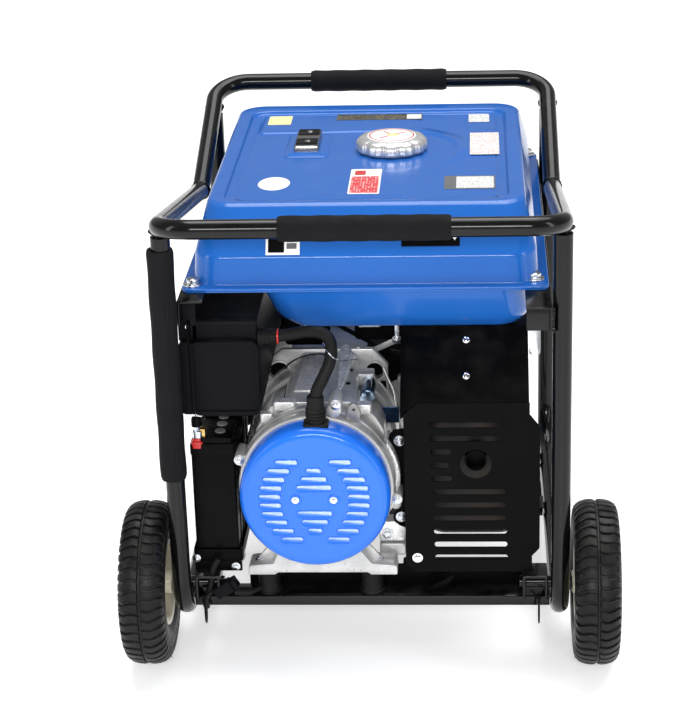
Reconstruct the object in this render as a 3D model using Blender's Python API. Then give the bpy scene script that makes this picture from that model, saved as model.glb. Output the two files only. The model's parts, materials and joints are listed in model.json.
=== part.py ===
"""Portable petrol generator: tubular frame, fuel tank, engine, alternator, wheels and controls.

Metres, +Z up. The floor is z = 0 and the origin is the middle of the plan. The alternator end,
which also carries the wheels, faces -Y. The control panel faces -X.
"""
import math

import bmesh
import bpy
from mathutils import Matrix, Vector

# frame
TUBE_R = 0.0125
BORE_R = 0.0105
FRAME_X = 0.2525
BAR_Y = 0.36
BAR_Z = 0.6405
UPRIGHT_Y = 0.31
BASE_Z = 0.0675
CORNER_R = 0.05
BASE_R = 0.07
KINK_Y = 0.10
KINK_Z = 0.548
GAP = 0.0003

# wheels
WHEEL_X = 0.3005
WHEEL_Y = -0.276
WHEEL_Z = 0.111
TYRE_R = 0.111
AXLE_R = 0.008

# tank
TANK_HX = 0.237
TANK_NEAR = -0.262
TANK_FAR = 0.345
SEAM_Z = 0.524
TANK_TOP = 0.622
FLANGE_R = 0.012
PAN_LOW = 0.452
FILLER = (0.0265, 0.058)

# alternator and engine share one shaft axis along Y
SHAFT_X = -0.069
SHAFT_Z = 0.256
SLANT = math.radians(25)


def clear_scene():
    for obj in list(bpy.data.objects):
        bpy.data.objects.remove(obj, do_unlink=True)


def material(name, colour, rough, metal=0.0):
    mat = bpy.data.materials.new(name)
    mat.use_nodes = True
    bsdf = mat.node_tree.nodes["Principled BSDF"]
    bsdf.inputs["Base Color"].default_value = (*colour, 1.0)
    bsdf.inputs["Roughness"].default_value = rough
    bsdf.inputs["Metallic"].default_value = metal
    mat.diffuse_color = (*colour, 1.0)
    return mat


def make_materials():
    return {
        "black_paint": material("black_paint", (0.012, 0.012, 0.013), 0.25),
        "satin_black": material("satin_black", (0.014, 0.014, 0.015), 0.5),
        "foam": material("foam", (0.018, 0.018, 0.02), 0.85),
        "rubber": material("rubber", (0.015, 0.015, 0.016), 0.8),
        "tyre": material("tyre", (0.014, 0.014, 0.015), 0.7),
        "cream": material("cream", (0.75, 0.72, 0.58), 0.35),
        "tank_blue": material("tank_blue", (0.035, 0.15, 0.6), 0.2),
        "cover_blue": material("cover_blue", (0.02, 0.17, 0.75), 0.3),
        "aluminium": material("aluminium", (0.6, 0.61, 0.62), 0.4, 1.0),
        "steel": material("steel", (0.5, 0.5, 0.52), 0.35, 1.0),
        "iron": material("iron", (0.05, 0.05, 0.055), 0.5, 1.0),
        "plastic": material("plastic", (0.02, 0.02, 0.022), 0.45),
        "chrome": material("chrome", (0.75, 0.75, 0.77), 0.12, 1.0),
        "red": material("red", (0.55, 0.02, 0.02), 0.4),
    }


def finish(name, bm, mat, origin=(0, 0, 0), smooth=True):
    """Turn a bmesh in world coordinates into an object whose origin is at the given point."""
    bmesh.ops.remove_doubles(bm, verts=bm.verts, dist=0.00001)
    bmesh.ops.recalc_face_normals(bm, faces=bm.faces)
    bmesh.ops.translate(bm, verts=bm.verts, vec=-Vector(origin))
    mesh = bpy.data.meshes.new(name)
    bm.to_mesh(mesh)
    bm.free()
    if smooth:
        mesh.shade_smooth()
        mesh.set_sharp_from_angle(angle=math.radians(35))
    obj = bpy.data.objects.new(name, mesh)
    obj.location = origin
    bpy.context.scene.collection.objects.link(obj)
    if mat is not None:
        mesh.materials.append(mat)
    return obj


def loft(rings, caps=True, closed=False):
    """Skin a list of rings that all have the same number of points."""
    bm = bmesh.new()
    rows = [[bm.verts.new(p) for p in ring] for ring in rings]
    pairs = list(zip(rows, rows[1:]))
    if closed:
        pairs.append((rows[-1], rows[0]))
    for low, high in pairs:
        count = len(low)
        for i in range(count):
            j = (i + 1) % count
            bm.faces.new((low[i], low[j], high[j], high[i]))
    if caps and not closed:
        bm.faces.new(rows[0])
        bm.faces.new(rows[-1])
    return bm


def spin(profile, centre, axis, steps):
    """Turn (along, radius) points round an axis; points on the axis close the shape."""
    axis = Vector(axis)
    side = Vector((0, 0, 1)) if abs(axis.z) < 0.5 else Vector((1, 0, 0))
    bm = bmesh.new()
    on_axis = profile[0][1] == 0 and profile[-1][1] == 0
    verts = [bm.verts.new(Vector(centre) + axis * a + side * r) for a, r in profile]
    edges = [bm.edges.new(pair) for pair in zip(verts, verts[1:])]
    if not on_axis:
        edges.append(bm.edges.new((verts[-1], verts[0])))
    bmesh.ops.spin(bm, geom=verts + edges, cent=centre, axis=axis, angle=2 * math.pi, steps=steps)
    bmesh.ops.remove_doubles(bm, verts=bm.verts, dist=0.00002)
    return bm


def box(low, high):
    bm = bmesh.new()
    centre = [(a + b) / 2 for a, b in zip(low, high)]
    size = [b - a for a, b in zip(low, high)]
    matrix = Matrix.Translation(centre) @ Matrix.Diagonal((*size, 1.0))
    bmesh.ops.create_cube(bm, size=1.0, matrix=matrix)
    return bm


def prism(points, plane, start, end):
    """Extrude a flat outline given in the XZ or YZ plane along the remaining axis."""
    def place(u, v, w):
        return (u, w, v) if plane == "XZ" else (w, u, v)
    return loft([[place(u, v, start) for u, v in points], [place(u, v, end) for u, v in points]])


def rounded_rect(x0, x1, y0, y1, radius, z, per_corner=4):
    ring = []
    corners = ((x1, y1, 0), (x0, y1, 90), (x0, y0, 180), (x1, y0, 270))
    for cx, cy, turn in corners:
        ox = cx - radius if turn in (0, 270) else cx + radius
        oy = cy - radius if turn in (0, 90) else cy + radius
        for k in range(per_corner + 1):
            angle = math.radians(turn + 90 * k / per_corner)
            ring.append((ox + radius * math.cos(angle), oy + radius * math.sin(angle), z))
    return ring


def arc(centre, start, end, radius, steps):
    """Points of a quarter bend from unit direction start to unit direction end."""
    centre = Vector(centre)
    start = Vector(start)
    end = Vector(end)
    points = []
    for k in range(steps + 1):
        angle = math.pi / 2 * k / steps
        points.append(centre + (start * math.cos(angle) + end * math.sin(angle)) * radius)
    return points


def tube(path, radii, sides=12):
    """Sweep a round section along a path without twist, one radius to a point."""
    path = [Vector(p) for p in path]
    if not isinstance(radii, (list, tuple)):
        radii = [radii] * len(path)
    tangents = []
    for i in range(len(path)):
        before = path[max(i - 1, 0)]
        after = path[min(i + 1, len(path) - 1)]
        tangents.append((after - before).normalized())
    normal = tangents[0].orthogonal().normalized()
    rings = []
    for point, tangent, radius in zip(path, tangents, radii):
        normal = (normal - tangent * normal.dot(tangent)).normalized()
        binormal = tangent.cross(normal)
        ring = []
        for k in range(sides):
            angle = 2 * math.pi * (k + 0.5) / sides
            ring.append(point + (normal * math.cos(angle) + binormal * math.sin(angle)) * radius)
        rings.append(ring)
    return rings


def mitre(ring, direction, joint, normal, offset):
    """Slide the points of an end ring along the tube until they lie on the joint's plane."""
    out = []
    for point in ring:
        reach = (offset - (point - joint).dot(normal)) / direction.dot(normal)
        out.append(point + direction * reach)
    return out


def cutter(name, bm):
    obj = finish(name, bm, None, smooth=False)
    obj.hide_render = True
    obj.display_type = "WIRE"
    return obj


def combine(obj, other_bm, name, operation):
    tool = cutter(name, other_bm)
    mod = obj.modifiers.new(name, "BOOLEAN")
    mod.operation = operation
    mod.solver = "EXACT"
    mod.object = tool
    return obj


def soften(obj, width):
    mod = obj.modifiers.new("edge", "BEVEL")
    mod.width = width
    mod.segments = 1
    mod.limit_method = "ANGLE"
    return obj


def rod(start, end, radius, sides=16):
    return loft(tube([start, end], radius, sides))


# ---------------------------------------------------------------- frame


def hoop(name, mats, sign):
    """Lifting hoop: a crossbar whose bent ends run down to the middle of the frame."""
    joint_y = KINK_Y
    bar = Vector((0, sign * BAR_Y, BAR_Z))
    joint = Vector((0, joint_y, KINK_Z))
    run = (bar - joint).normalized()
    left = Vector((-FRAME_X, 0, 0))
    right = Vector((FRAME_X, 0, 0))
    ex = Vector((1, 0, 0))
    centre_l = bar + left + ex * CORNER_R - run * CORNER_R
    centre_r = bar + right - ex * CORNER_R - run * CORNER_R
    path = [joint + left] + arc(centre_l, -ex, run, CORNER_R, 6)
    path += arc(centre_r, run, ex, CORNER_R, 6) + [joint + right]
    other = (Vector((0, -sign * BAR_Y, BAR_Z)) - joint).normalized()
    normal = (run - other).normalized()
    skins = []
    for radius in (TUBE_R, BORE_R):
        rings = tube(path, radius)
        rings[0] = mitre(rings[0], run, joint + left, normal, GAP / 2)
        rings[-1] = mitre(rings[-1], run, joint + right, normal, GAP / 2)
        skins.append(rings)
    return finish(name, loft(skins[0] + skins[1][::-1], closed=True), mats["black_paint"])


def side_loop(name, mats, sign):
    """Two uprights and the base rail between them, bent from one tube."""
    x = sign * FRAME_X
    down = Vector((0, 0, -1))
    near = Vector((0, -1, 0))
    z = BASE_Z + BASE_R
    path = [(x, -UPRIGHT_Y, 0.615)]
    path += arc((x, -UPRIGHT_Y + BASE_R, z), near, down, BASE_R, 6)
    path += arc((x, UPRIGHT_Y - BASE_R, z), down, -near, BASE_R, 6)
    path += [(x, UPRIGHT_Y, 0.6045)]
    rings = tube(path, TUBE_R) + tube(path, BORE_R)[::-1]
    return finish(name, loft(rings, closed=True), mats["black_paint"])


def cross_member(name, mats, y, top):
    """Inverted channel between the base rails."""
    half, height, wall = 0.019, 0.014, 0.003
    bottom = top - height
    outline = [(y - half, bottom), (y - half, top), (y + half, top), (y + half, bottom)]
    outline += [(y + half - wall, bottom), (y + half - wall, top - wall)]
    outline += [(y - half + wall, top - wall), (y - half + wall, bottom)]
    return finish(name, prism(outline, "YZ", -0.2395, 0.2395), mats["black_paint"], smooth=False)


def tank_rail(name, mats, sign, start):
    """Angle that carries the tank's flange from the near upright to the far one."""
    out, inner, wall = 0.2393, 0.206, 0.003
    top, low = 0.5218, 0.488
    outline = [(out, low), (out, top), (inner, top), (inner, top - wall)]
    outline += [(out - wall, top - wall), (out - wall, low)]
    outline = [(sign * x, z) for x, z in outline]
    return finish(name, prism(outline, "XZ", start, 0.325), mats["black_paint"], smooth=False)


def foot(name, mats, sign):
    """Rubber foot on a short stem under the far end of a base rail."""
    profile = [(0, 0), (0, 0.026), (0.008, 0.027), (0.03, 0.021), (0.034, 0.012), (0.05, 0.012)]
    profile += [(0.05, 0.018), (0.0545, 0.018), (0.0545, 0)]
    bm = spin(profile, (sign * FRAME_X, 0.2, 0), (0, 0, 1), 16)
    return finish(name, bm, mats["rubber"])


def bar_grip(name, mats, sign, x0, x1):
    profile = [(x0, 0.0128), (x1, 0.0128), (x1, 0.0155), (x1 - 0.001, 0.0165)]
    profile += [(x0 + 0.001, 0.0165), (x0, 0.0155)]
    bm = spin(profile, (0, sign * BAR_Y, BAR_Z), (1, 0, 0), 20)
    return finish(name, bm, mats["foam"])


def upright_sleeve(mats):
    """Foam pad slipped round the near left upright, thicker on its outer side."""
    rings = []
    for z, inner in ((0.2815, True), (0.2815, False), (0.5985, False), (0.5985, True)):
        ring = []
        for k in range(20):
            angle = 2 * math.pi * k / 20
            cx, sy = math.cos(angle), math.sin(angle)
            if inner:
                ring.append((-FRAME_X + 0.0131 * cx, -UPRIGHT_Y + 0.0131 * sy, z))
            else:
                ring.append((-FRAME_X - 0.0015 + 0.0175 * cx, -UPRIGHT_Y + 0.0165 * sy, z))
        rings.append(ring)
    return finish("upright_sleeve", loft(rings, closed=True), mats["foam"])


def build_frame(mats):
    hoop("frame_hoop_near", mats, -1)
    hoop("frame_hoop_far", mats, 1)
    side_loop("frame_loop_left", mats, -1)
    side_loop("frame_loop_right", mats, 1)
    cross_member("cross_member_near", mats, -0.266, 0.0935)
    cross_member("cross_member_mid", mats, 0.035, 0.0805)
    cross_member("cross_member_far", mats, 0.21, 0.0805)
    tank_rail("tank_rail_left", mats, -1, -0.2925)
    tank_rail("tank_rail_right", mats, 1, -0.325)
    foot("foot_left", mats, -1)
    foot("foot_right", mats, 1)
    bar_grip("grip_near", mats, -1, -0.099, 0.114)
    bar_grip("grip_far", mats, 1, -0.107, 0.1)
    upright_sleeve(mats)


# ---------------------------------------------------------------- wheels


def axle(name, mats, sign):
    """Stub axle welded in its saddle bracket on the near cross member."""
    x0, x1 = 0.203, 0.2365
    outline = [(x0, 0.0938), (x0, 0.13), (x1, 0.13), (x1, 0.0938), (x1 - 0.004, 0.0938)]
    outline += [(x1 - 0.004, 0.126), (x0 + 0.004, 0.126), (x0 + 0.004, 0.0938)]
    outline = [(sign * x, z) for x, z in outline]
    obj = finish(name, prism(outline, "XZ", -0.298, -0.258), mats["steel"])
    profile = [(0.199, 0), (0.199, AXLE_R), (0.2655, AXLE_R), (0.2655, 0.0115), (0.2688, 0.0115)]
    profile += [(0.2688, AXLE_R), (0.3196, AXLE_R), (0.3196, 0.0125), (0.3305, 0.0125)]
    profile += [(0.3305, 0)]
    pin = spin(profile, (0, WHEEL_Y, WHEEL_Z), (sign, 0, 0), 16)
    return combine(obj, pin, name + "_pin", "UNION")


def tyre(name, mats, sign):
    half = [(0.024, 0.0527), (0.0241, 0.0585), (0.0285, 0.066), (0.031, 0.08), (0.0295, 0.098)]
    half += [(0.023, 0.1075), (0.011, 0.1105)]
    profile = half + [(0, TYRE_R)] + [(-a, r) for a, r in reversed(half)]
    centre = (sign * WHEEL_X, WHEEL_Y, WHEEL_Z)
    return finish(name, spin(profile, centre, (1, 0, 0), 28), mats["tyre"], centre)


def rim(name, mats, sign):
    """Pressed rim: hub, web, barrel and the two bead flanges. Positive runs outward."""
    profile = [(-0.0312, 0.0083), (0.0185, 0.0083), (0.0185, 0.016), (0.0015, 0.016)]
    profile += [(0.0015, 0.0488), (0.027, 0.0488), (0.027, 0.0575), (0.0245, 0.0575)]
    profile += [(0.0245, 0.0521), (-0.0245, 0.0521), (-0.0245, 0.0575), (-0.027, 0.0575)]
    profile += [(-0.027, 0.0488), (-0.0015, 0.0488), (-0.0015, 0.016), (-0.0312, 0.016)]
    centre = (sign * WHEEL_X, WHEEL_Y, WHEEL_Z)
    return finish(name, spin(profile, centre, (sign, 0, 0), 16), mats["cream"], centre)


def build_wheels(mats):
    for side, sign in (("left", -1), ("right", 1)):
        axle("axle_" + side, mats, sign)
        tyre("tyre_" + side, mats, sign)
        rim("rim_" + side, mats, sign)


# ---------------------------------------------------------------- tank


def tank_ring(inset_x, near, far, radius, z):
    return rounded_rect(-TANK_HX + inset_x, TANK_HX - inset_x, near, far, radius, z)


def tank_upper(mats):
    """Upper shell: flange, short wall, sloped shoulder, raised border and recessed panel."""
    outer = [
        tank_ring(0.053, -0.169, 0.259, 0.028, 0.6175),
        tank_ring(0.05, -0.172, 0.262, 0.03, TANK_TOP),
        tank_ring(0.0325, -0.197, 0.285, 0.034, TANK_TOP),
        tank_ring(0.028, -0.203, 0.290, 0.036, 0.617),
        tank_ring(0.015, -0.246, 0.330, 0.038, 0.564),
        tank_ring(0.013, -0.249, 0.332, 0.038, 0.5268),
        tank_ring(0.0, TANK_NEAR, TANK_FAR, FLANGE_R, 0.5264),
        tank_ring(0.0, TANK_NEAR, TANK_FAR, FLANGE_R, SEAM_Z + 0.0002),
    ]
    inner = [
        tank_ring(0.0155, -0.2465, 0.3295, 0.036, SEAM_Z + 0.0002),
        tank_ring(0.017, -0.244, 0.328, 0.036, 0.5635),
        tank_ring(0.0315, -0.2, 0.2865, 0.034, 0.6145),
        tank_ring(0.055, -0.167, 0.257, 0.028, 0.6155),
    ]
    obj = finish("tank_upper", loft(outer + inner), mats["tank_blue"])
    x, y = FILLER
    return combine(obj, rod((x, y, 0.6), (x, y, 0.64), 0.036, 24), "filler_hole", "DIFFERENCE")


def tank_lower(mats):
    """Lower shell: flat flange and a pan that leaves room for the control box on the left."""
    pan = ((-0.10, 0.2, -0.205, 0.29, 0.03, PAN_LOW), (-0.118, 0.213, -0.222, 0.305, 0.035, 0.47),
           (-0.140, 0.2045, -0.245, 0.328, 0.035, 0.5222))
    wall = 0.0018
    rings = [rounded_rect(*row) for row in pan]
    rings.append(tank_ring(0.0005, TANK_NEAR, TANK_FAR, FLANGE_R, 0.5222))
    rings.append(tank_ring(0.0005, TANK_NEAR, TANK_FAR, FLANGE_R, SEAM_Z - 0.0002))
    for x0, x1, y0, y1, radius, z in reversed(pan):
        lift = z + wall if z < 0.52 else SEAM_Z - 0.0002
        rings.append(rounded_rect(x0 + wall, x1 - wall, y0 + wall, y1 - wall, radius, lift))
    return finish("tank_lower", loft(rings), mats["tank_blue"])


def fuel_cap(mats):
    profile = [(0.601, 0), (0.601, 0.034), (0.6181, 0.034), (0.6181, 0.049), (0.62, 0.0505)]
    profile += [(0.632, 0.0505), (0.636, 0.047), (0.6385, 0.03), (0.639, 0)]
    centre = (FILLER[0], FILLER[1], 0)
    bm = spin(profile, centre, (0, 0, 1), 24)
    return finish("fuel_cap", bm, mats["chrome"], (FILLER[0], FILLER[1], 0.62))


def fuel_gauge(mats):
    bm = box((-0.111, 0.04, 0.6179), (-0.0745, 0.125, 0.631))
    return soften(finish("fuel_gauge", bm, mats["plastic"]), 0.003)


def fuel_tap_lever(mats):
    x, y = 0.15, -0.04
    stem = rod((x, y, PAN_LOW - 0.013), (x, y, PAN_LOW - GAP), 0.008)
    obj = finish("fuel_tap_lever", stem, mats["red"], (x, y, PAN_LOW - 0.006))
    blade = box((x - 0.0035, y - 0.036, PAN_LOW - 0.0125), (x + 0.0035, y, PAN_LOW - 0.0085))
    return combine(obj, blade, "tap_blade", "UNION")


def build_tank(mats):
    tank_upper(mats)
    tank_lower(mats)
    fuel_cap(mats)
    fuel_gauge(mats)
    fuel_tap_lever(mats)


# ---------------------------------------------------------------- alternator


def alternator_cover(mats):
    profile = [(-0.325, 0), (-0.325, 0.0885), (-0.3232, 0.0945), (-0.3175, 0.0985)]
    profile += [(-0.313, 0.0995), (-0.288, 0.0995), (-0.288, 0.0977), (-0.3135, 0.0977)]
    profile += [(-0.3215, 0.0935), (-0.3232, 0.088), (-0.3232, 0)]
    bm = spin(profile, (SHAFT_X, 0, SHAFT_Z), (0, 1, 0), 32)
    return finish("alternator_cover", bm, mats["cover_blue"])


def end_bell(mats):
    """Cast end bell with its bearing boss, four through-bolt ears and the mounting foot."""
    profile = [(-0.2872, 0.095), (-0.2872, 0.103), (-0.2452, 0.103), (-0.2452, 0.095)]
    profile += [(-0.256, 0.095), (-0.256, 0.024), (-0.25, 0.024), (-0.25, 0.0135)]
    profile += [(-0.28, 0.0135), (-0.28, 0.024), (-0.262, 0.024), (-0.262, 0.095)]
    bm = spin(profile, (SHAFT_X, 0, SHAFT_Z), (0, 1, 0), 24)
    obj = finish("end_bell", bm, mats["aluminium"])
    for k in range(4):
        angle = math.radians(73 + 90 * k)
        x = SHAFT_X + 0.1095 * math.cos(angle)
        z = SHAFT_Z + 0.1095 * math.sin(angle)
        combine(obj, rod((x, -0.2868, z), (x, -0.2738, z), 0.0095, 10), "ear_%d" % k, "UNION")
    left, right = SHAFT_X - 0.096, SHAFT_X + 0.105
    outline = [(left, 0.1252), (right, 0.1252), (right, 0.138), (right - 0.02, 0.142)]
    outline += [(SHAFT_X + 0.05, 0.168), (SHAFT_X - 0.05, 0.168), (left + 0.02, 0.142)]
    outline += [(left, 0.138)]
    return combine(obj, prism(outline, "XZ", -0.2848, -0.2477), "foot_block", "UNION")


def stator(mats):
    profile = [(-0.2448, 0.0665), (-0.2448, 0.0975), (-0.128, 0.0975), (-0.128, 0.0665)]
    bm = spin(profile, (SHAFT_X, 0, SHAFT_Z), (0, 1, 0), 24)
    return finish("stator", bm, mats["iron"])


def rotor(mats):
    """Alternator shaft, wound rotor and cooling fan, turned as one piece."""
    profile = [(-0.3, 0), (-0.3, 0.0125), (-0.228, 0.0125), (-0.228, 0.0645), (-0.146, 0.0645)]
    profile += [(-0.146, 0.02), (-0.121, 0.02), (-0.121, 0.08), (-0.113, 0.08)]
    profile += [(-0.113, 0.016), (-0.0736, 0.016), (-0.0736, 0)]
    centre = (SHAFT_X, 0, SHAFT_Z)
    bm = spin(profile, centre, (0, 1, 0), 20)
    return finish("rotor", bm, mats["steel"], (SHAFT_X, -0.2, SHAFT_Z))


def adapter(mats):
    """Casting between alternator and engine, with an upper plate that has two round windows."""
    profile = [(-0.1277, 0.096), (-0.1277, 0.103), (-0.0725, 0.103), (-0.0725, 0.0185)]
    profile += [(-0.0795, 0.0185), (-0.0795, 0.096)]
    bm = spin(profile, (SHAFT_X, 0, SHAFT_Z), (0, 1, 0), 24)
    obj = finish("adapter", bm, mats["aluminium"])
    outline = [(SHAFT_X - 0.089, 0.30), (SHAFT_X + 0.089, 0.30), (SHAFT_X + 0.089, 0.352)]
    outline += [(SHAFT_X + 0.068, 0.372), (SHAFT_X - 0.058, 0.372), (SHAFT_X - 0.0705, 0.362)]
    outline += [(SHAFT_X - 0.0705, 0.3522), (SHAFT_X - 0.089, 0.337)]
    combine(obj, prism(outline, "XZ", -0.0822, -0.0726), "upper_plate", "UNION")
    for k, sign in enumerate((-1, 1)):
        x = SHAFT_X + sign * 0.0665
        hole = rod((x, -0.14, 0.334), (x, -0.06, 0.334), 0.015, 18)
        combine(obj, hole, "window_%d" % k, "DIFFERENCE")
    return combine(obj, rod((SHAFT_X, -0.1127, SHAFT_Z), (SHAFT_X, -0.0796, SHAFT_Z), 0.0958, 24),
                   "bell_clear", "DIFFERENCE")


def conduit(mats):
    """Output lead in its conduit, from the control box to the bellows on the end cover."""
    path = [(-0.1398, -0.255, 0.458), (-0.125, -0.255, 0.458), (-0.1, -0.257, 0.461)]
    path += [(-0.072, -0.26, 0.467), (-0.052, -0.265, 0.466), (-0.043, -0.273, 0.455)]
    path += [(-0.045, -0.285, 0.438), (-0.055, -0.295, 0.422), (-0.0625, -0.3, 0.408)]
    path += [(-0.0645, -0.301, 0.395), (-0.065, -0.301, 0.38), (-0.065, -0.301, 0.3562)]
    radii = [0.0105, 0.0085, 0.0068, 0.0065, 0.0065, 0.0065, 0.0065, 0.0065, 0.0075]
    radii += [0.0115, 0.012, 0.0125]
    return finish("conduit", loft(tube(path, radii, 12)), mats["rubber"])


def build_alternator(mats):
    alternator_cover(mats)
    end_bell(mats)
    stator(mats)
    rotor(mats)
    adapter(mats)
    conduit(mats)


# ---------------------------------------------------------------- engine


def slant(s, t):
    """Point at distance s along the cylinder's axis and t across it, in the XZ plane."""
    x = SHAFT_X + s * math.cos(SLANT) - t * math.sin(SLANT)
    z = SHAFT_Z + s * math.sin(SLANT) + t * math.cos(SLANT)
    return (x, z)


def crankcase(mats):
    outline = [(-0.175, 0.1252), (0.037, 0.1252), (0.037, 0.138), (0.03, 0.142), (0.03, 0.214)]
    outline += [slant(0.095, -0.06), slant(0.095, 0.06), (-0.118, slant(0.095, 0.06)[1])]
    outline += [(-0.158, 0.3), (-0.158, 0.142), (-0.175, 0.138)]
    obj = finish("crankcase", prism(outline, "XZ", -0.0722, 0.118), mats["aluminium"])
    bore = rod((SHAFT_X, -0.1, SHAFT_Z), (SHAFT_X, 0.14, SHAFT_Z), 0.0178, 24)
    combine(obj, bore, "crank_bore", "DIFFERENCE")
    space = rod((SHAFT_X, -0.064, SHAFT_Z), (SHAFT_X, 0.11, SHAFT_Z), 0.058, 24)
    return combine(obj, space, "crank_space", "DIFFERENCE")


def crankshaft(mats):
    """Crankshaft with the flywheel and its fan at the far end."""
    profile = [(-0.0731, 0), (-0.0731, 0.015), (0.121, 0.015), (0.121, 0.03), (0.125, 0.102)]
    profile += [(0.157, 0.102), (0.16, 0.03), (0.168, 0.03), (0.168, 0)]
    centre = (SHAFT_X, 0, SHAFT_Z)
    bm = spin(profile, centre, (0, 1, 0), 20)
    return finish("crankshaft", bm, mats["iron"], (SHAFT_X, 0.14, SHAFT_Z))


def fan_shroud(mats):
    profile = [(0.1187, 0.1155), (0.1187, 0.118), (0.176, 0.118), (0.176, 0.06)]
    profile += [(0.1735, 0.06), (0.1735, 0.1155)]
    bm = spin(profile, (SHAFT_X, 0, SHAFT_Z), (0, 1, 0), 24)
    return finish("fan_shroud", bm, mats["satin_black"])


def recoil_cover(mats):
    profile = [(0.1765, 0.0955), (0.1765, 0.098), (0.205, 0.098), (0.2125, 0.09), (0.2145, 0.08)]
    profile += [(0.2145, 0)]
    inner = [(0.2122, 0), (0.2122, 0.079), (0.2105, 0.0885), (0.204, 0.0955)]
    bm = spin(inner + profile, (SHAFT_X, 0, SHAFT_Z), (0, 1, 0), 24)
    obj = finish("recoil_cover", bm, mats["satin_black"])
    x, z = SHAFT_X + 0.04, SHAFT_Z + 0.05
    return combine(obj, rod((x, 0.2, z), (x, 0.23, z), 0.005, 12), "cord_hole", "DIFFERENCE")


def pull_grip(mats):
    x, z = SHAFT_X + 0.04, SHAFT_Z + 0.05
    bm = box((x - 0.036, 0.2152, z - 0.009), (x + 0.036, 0.236, z + 0.009))
    obj = soften(finish("pull_grip", bm, mats["rubber"], (x, 0.2152, z)), 0.004)
    return combine(obj, rod((x, 0.179, z), (x, 0.225, z), 0.0025, 10), "cord_stub", "UNION")


def cylinder(mats):
    """Finned cylinder and head, slanted from the crankcase."""
    outline = [slant(0.0953, -0.056)]
    s = 0.102
    while s < 0.19:
        for ds, t in ((0, 0.05), (0, 0.058), (0.004, 0.058), (0.004, 0.05)):
            outline.append(slant(s + ds, -t))
        s += 0.0135
    outline += [slant(0.195, -0.05), slant(0.195, 0.05)]
    s -= 0.0135
    while s > 0.1:
        for ds, t in ((0.004, 0.05), (0.004, 0.058), (0, 0.058), (0, 0.05)):
            outline.append(slant(s + ds, t))
        s -= 0.0135
    outline.append(slant(0.0953, 0.056))
    return finish("cylinder", prism(outline, "XZ", -0.048, 0.08), mats["aluminium"], smooth=False)


def valve_cover(mats):
    rings = []
    for s, inset in ((0.1953, 0.0), (0.2, 0.0), (0.222, 0.004), (0.228, 0.012)):
        flat = rounded_rect(-0.046 + inset, 0.046 - inset, -0.036 + inset, 0.068 - inset, 0.012, 0)
        ring = []
        for t, y, _ in flat:
            x, z = slant(s, t)
            ring.append((x, y, z))
        rings.append(ring)
    return finish("valve_cover", loft(rings), mats["aluminium"])


def dipstick(mats):
    profile = [(-0.1583, 0), (-0.1583, 0.0115), (-0.162, 0.0115), (-0.163, 0.015)]
    profile += [(-0.172, 0.0145), (-0.173, 0)]
    bm = spin(profile, (0, 0.09, 0.178), (1, 0, 0), 16)
    return finish("dipstick", bm, mats["plastic"], (-0.16, 0.09, 0.178))


def air_cleaner(mats):
    rings = []
    for x, inset in ((0.088, 0.006), (0.1897, 0.0)):
        flat = rounded_rect(0.125 + inset, 0.288 - inset, 0.318 + inset, 0.430 - inset, 0.015, x)
        rings.append([(w, u, v) for u, v, w in flat])
    finish("air_cleaner_box", loft(rings), mats["plastic"])
    rings = []
    for x, inset in ((0.19, 0.0), (0.212, 0.0), (0.222, 0.006), (0.225, 0.016)):
        flat = rounded_rect(0.124 + inset, 0.289 - inset, 0.317 + inset, 0.431 - inset, 0.016, x)
        rings.append([(w, u, v) for u, v, w in flat])
    finish("air_cleaner_cover", loft(rings), mats["plastic"], (0.19, 0.2065, 0.317))


CHOKE_Y = 0.1026


def carburettor(mats):
    obj = finish("carburettor", box((0.06, 0.0804, 0.345), (0.1, 0.1247, 0.385)),
                 mats["aluminium"], smooth=False)
    return combine(obj, rod((0.08, CHOKE_Y, 0.3215), (0.08, CHOKE_Y, 0.35), 0.0118, 14), "float_bowl",
                   "UNION")


def choke_lever(mats):
    profile = [(0.1003, 0), (0.1003, 0.005), (0.105, 0.005), (0.105, 0)]
    bm = spin(profile, (0, CHOKE_Y, 0.368), (1, 0, 0), 14)
    obj = finish("choke_lever", bm, mats["steel"], (0.1003, CHOKE_Y, 0.368))
    blade = box((0.1012, CHOKE_Y - 0.0036, 0.368), (0.1035, CHOKE_Y + 0.0036, 0.392))
    return combine(obj, blade, "choke_blade", "UNION")


def starter_motor(mats):
    profile = [(-0.045, 0), (-0.045, 0.02), (-0.04, 0.034), (0.062, 0.034), (0.066, 0.03)]
    profile += [(0.112, 0.03), (0.112, 0)]
    bm = spin(profile, (-0.1985, 0, 0.268), (0, 1, 0), 20)
    return finish("starter_motor", bm, mats["satin_black"])


def muffler(mats):
    rings = []
    for y, inset in ((-0.238, 0.012), (-0.228, 0.0), (-0.135, 0.0), (-0.125, 0.012)):
        flat = rounded_rect(0.068 + inset, 0.205 - inset, 0.16 + inset, 0.352 - inset, 0.03, y)
        rings.append([(u, w, v) for u, v, w in flat])
    obj = finish("muffler", loft(rings), mats["steel"])
    combine(obj, rod((0.092, -0.15, 0.325), (0.092, -0.0485, 0.325), 0.016), "inlet_pipe", "UNION")
    outlet = spin([(-0.2755, 0.0125), (-0.2755, 0.0145), (-0.22, 0.0145), (-0.22, 0.0125)],
                  (0.1417, 0, 0.2886), (0, 1, 0), 20)
    combine(obj, outlet, "outlet_pipe", "UNION")
    rings = []
    for y, inset in ((-0.2355, 0.013), (-0.2265, 0.002), (-0.1365, 0.002), (-0.1275, 0.013)):
        flat = rounded_rect(0.068 + inset, 0.205 - inset, 0.16 + inset, 0.352 - inset, 0.028, y)
        rings.append([(u, w, v) for u, v, w in flat])
    combine(obj, loft(rings), "silencer_space", "DIFFERENCE")
    bore = rod((0.1417, -0.28, 0.2886), (0.1417, -0.2, 0.2886), 0.0124, 20)
    return combine(obj, bore, "outlet_bore", "DIFFERENCE")


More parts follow.
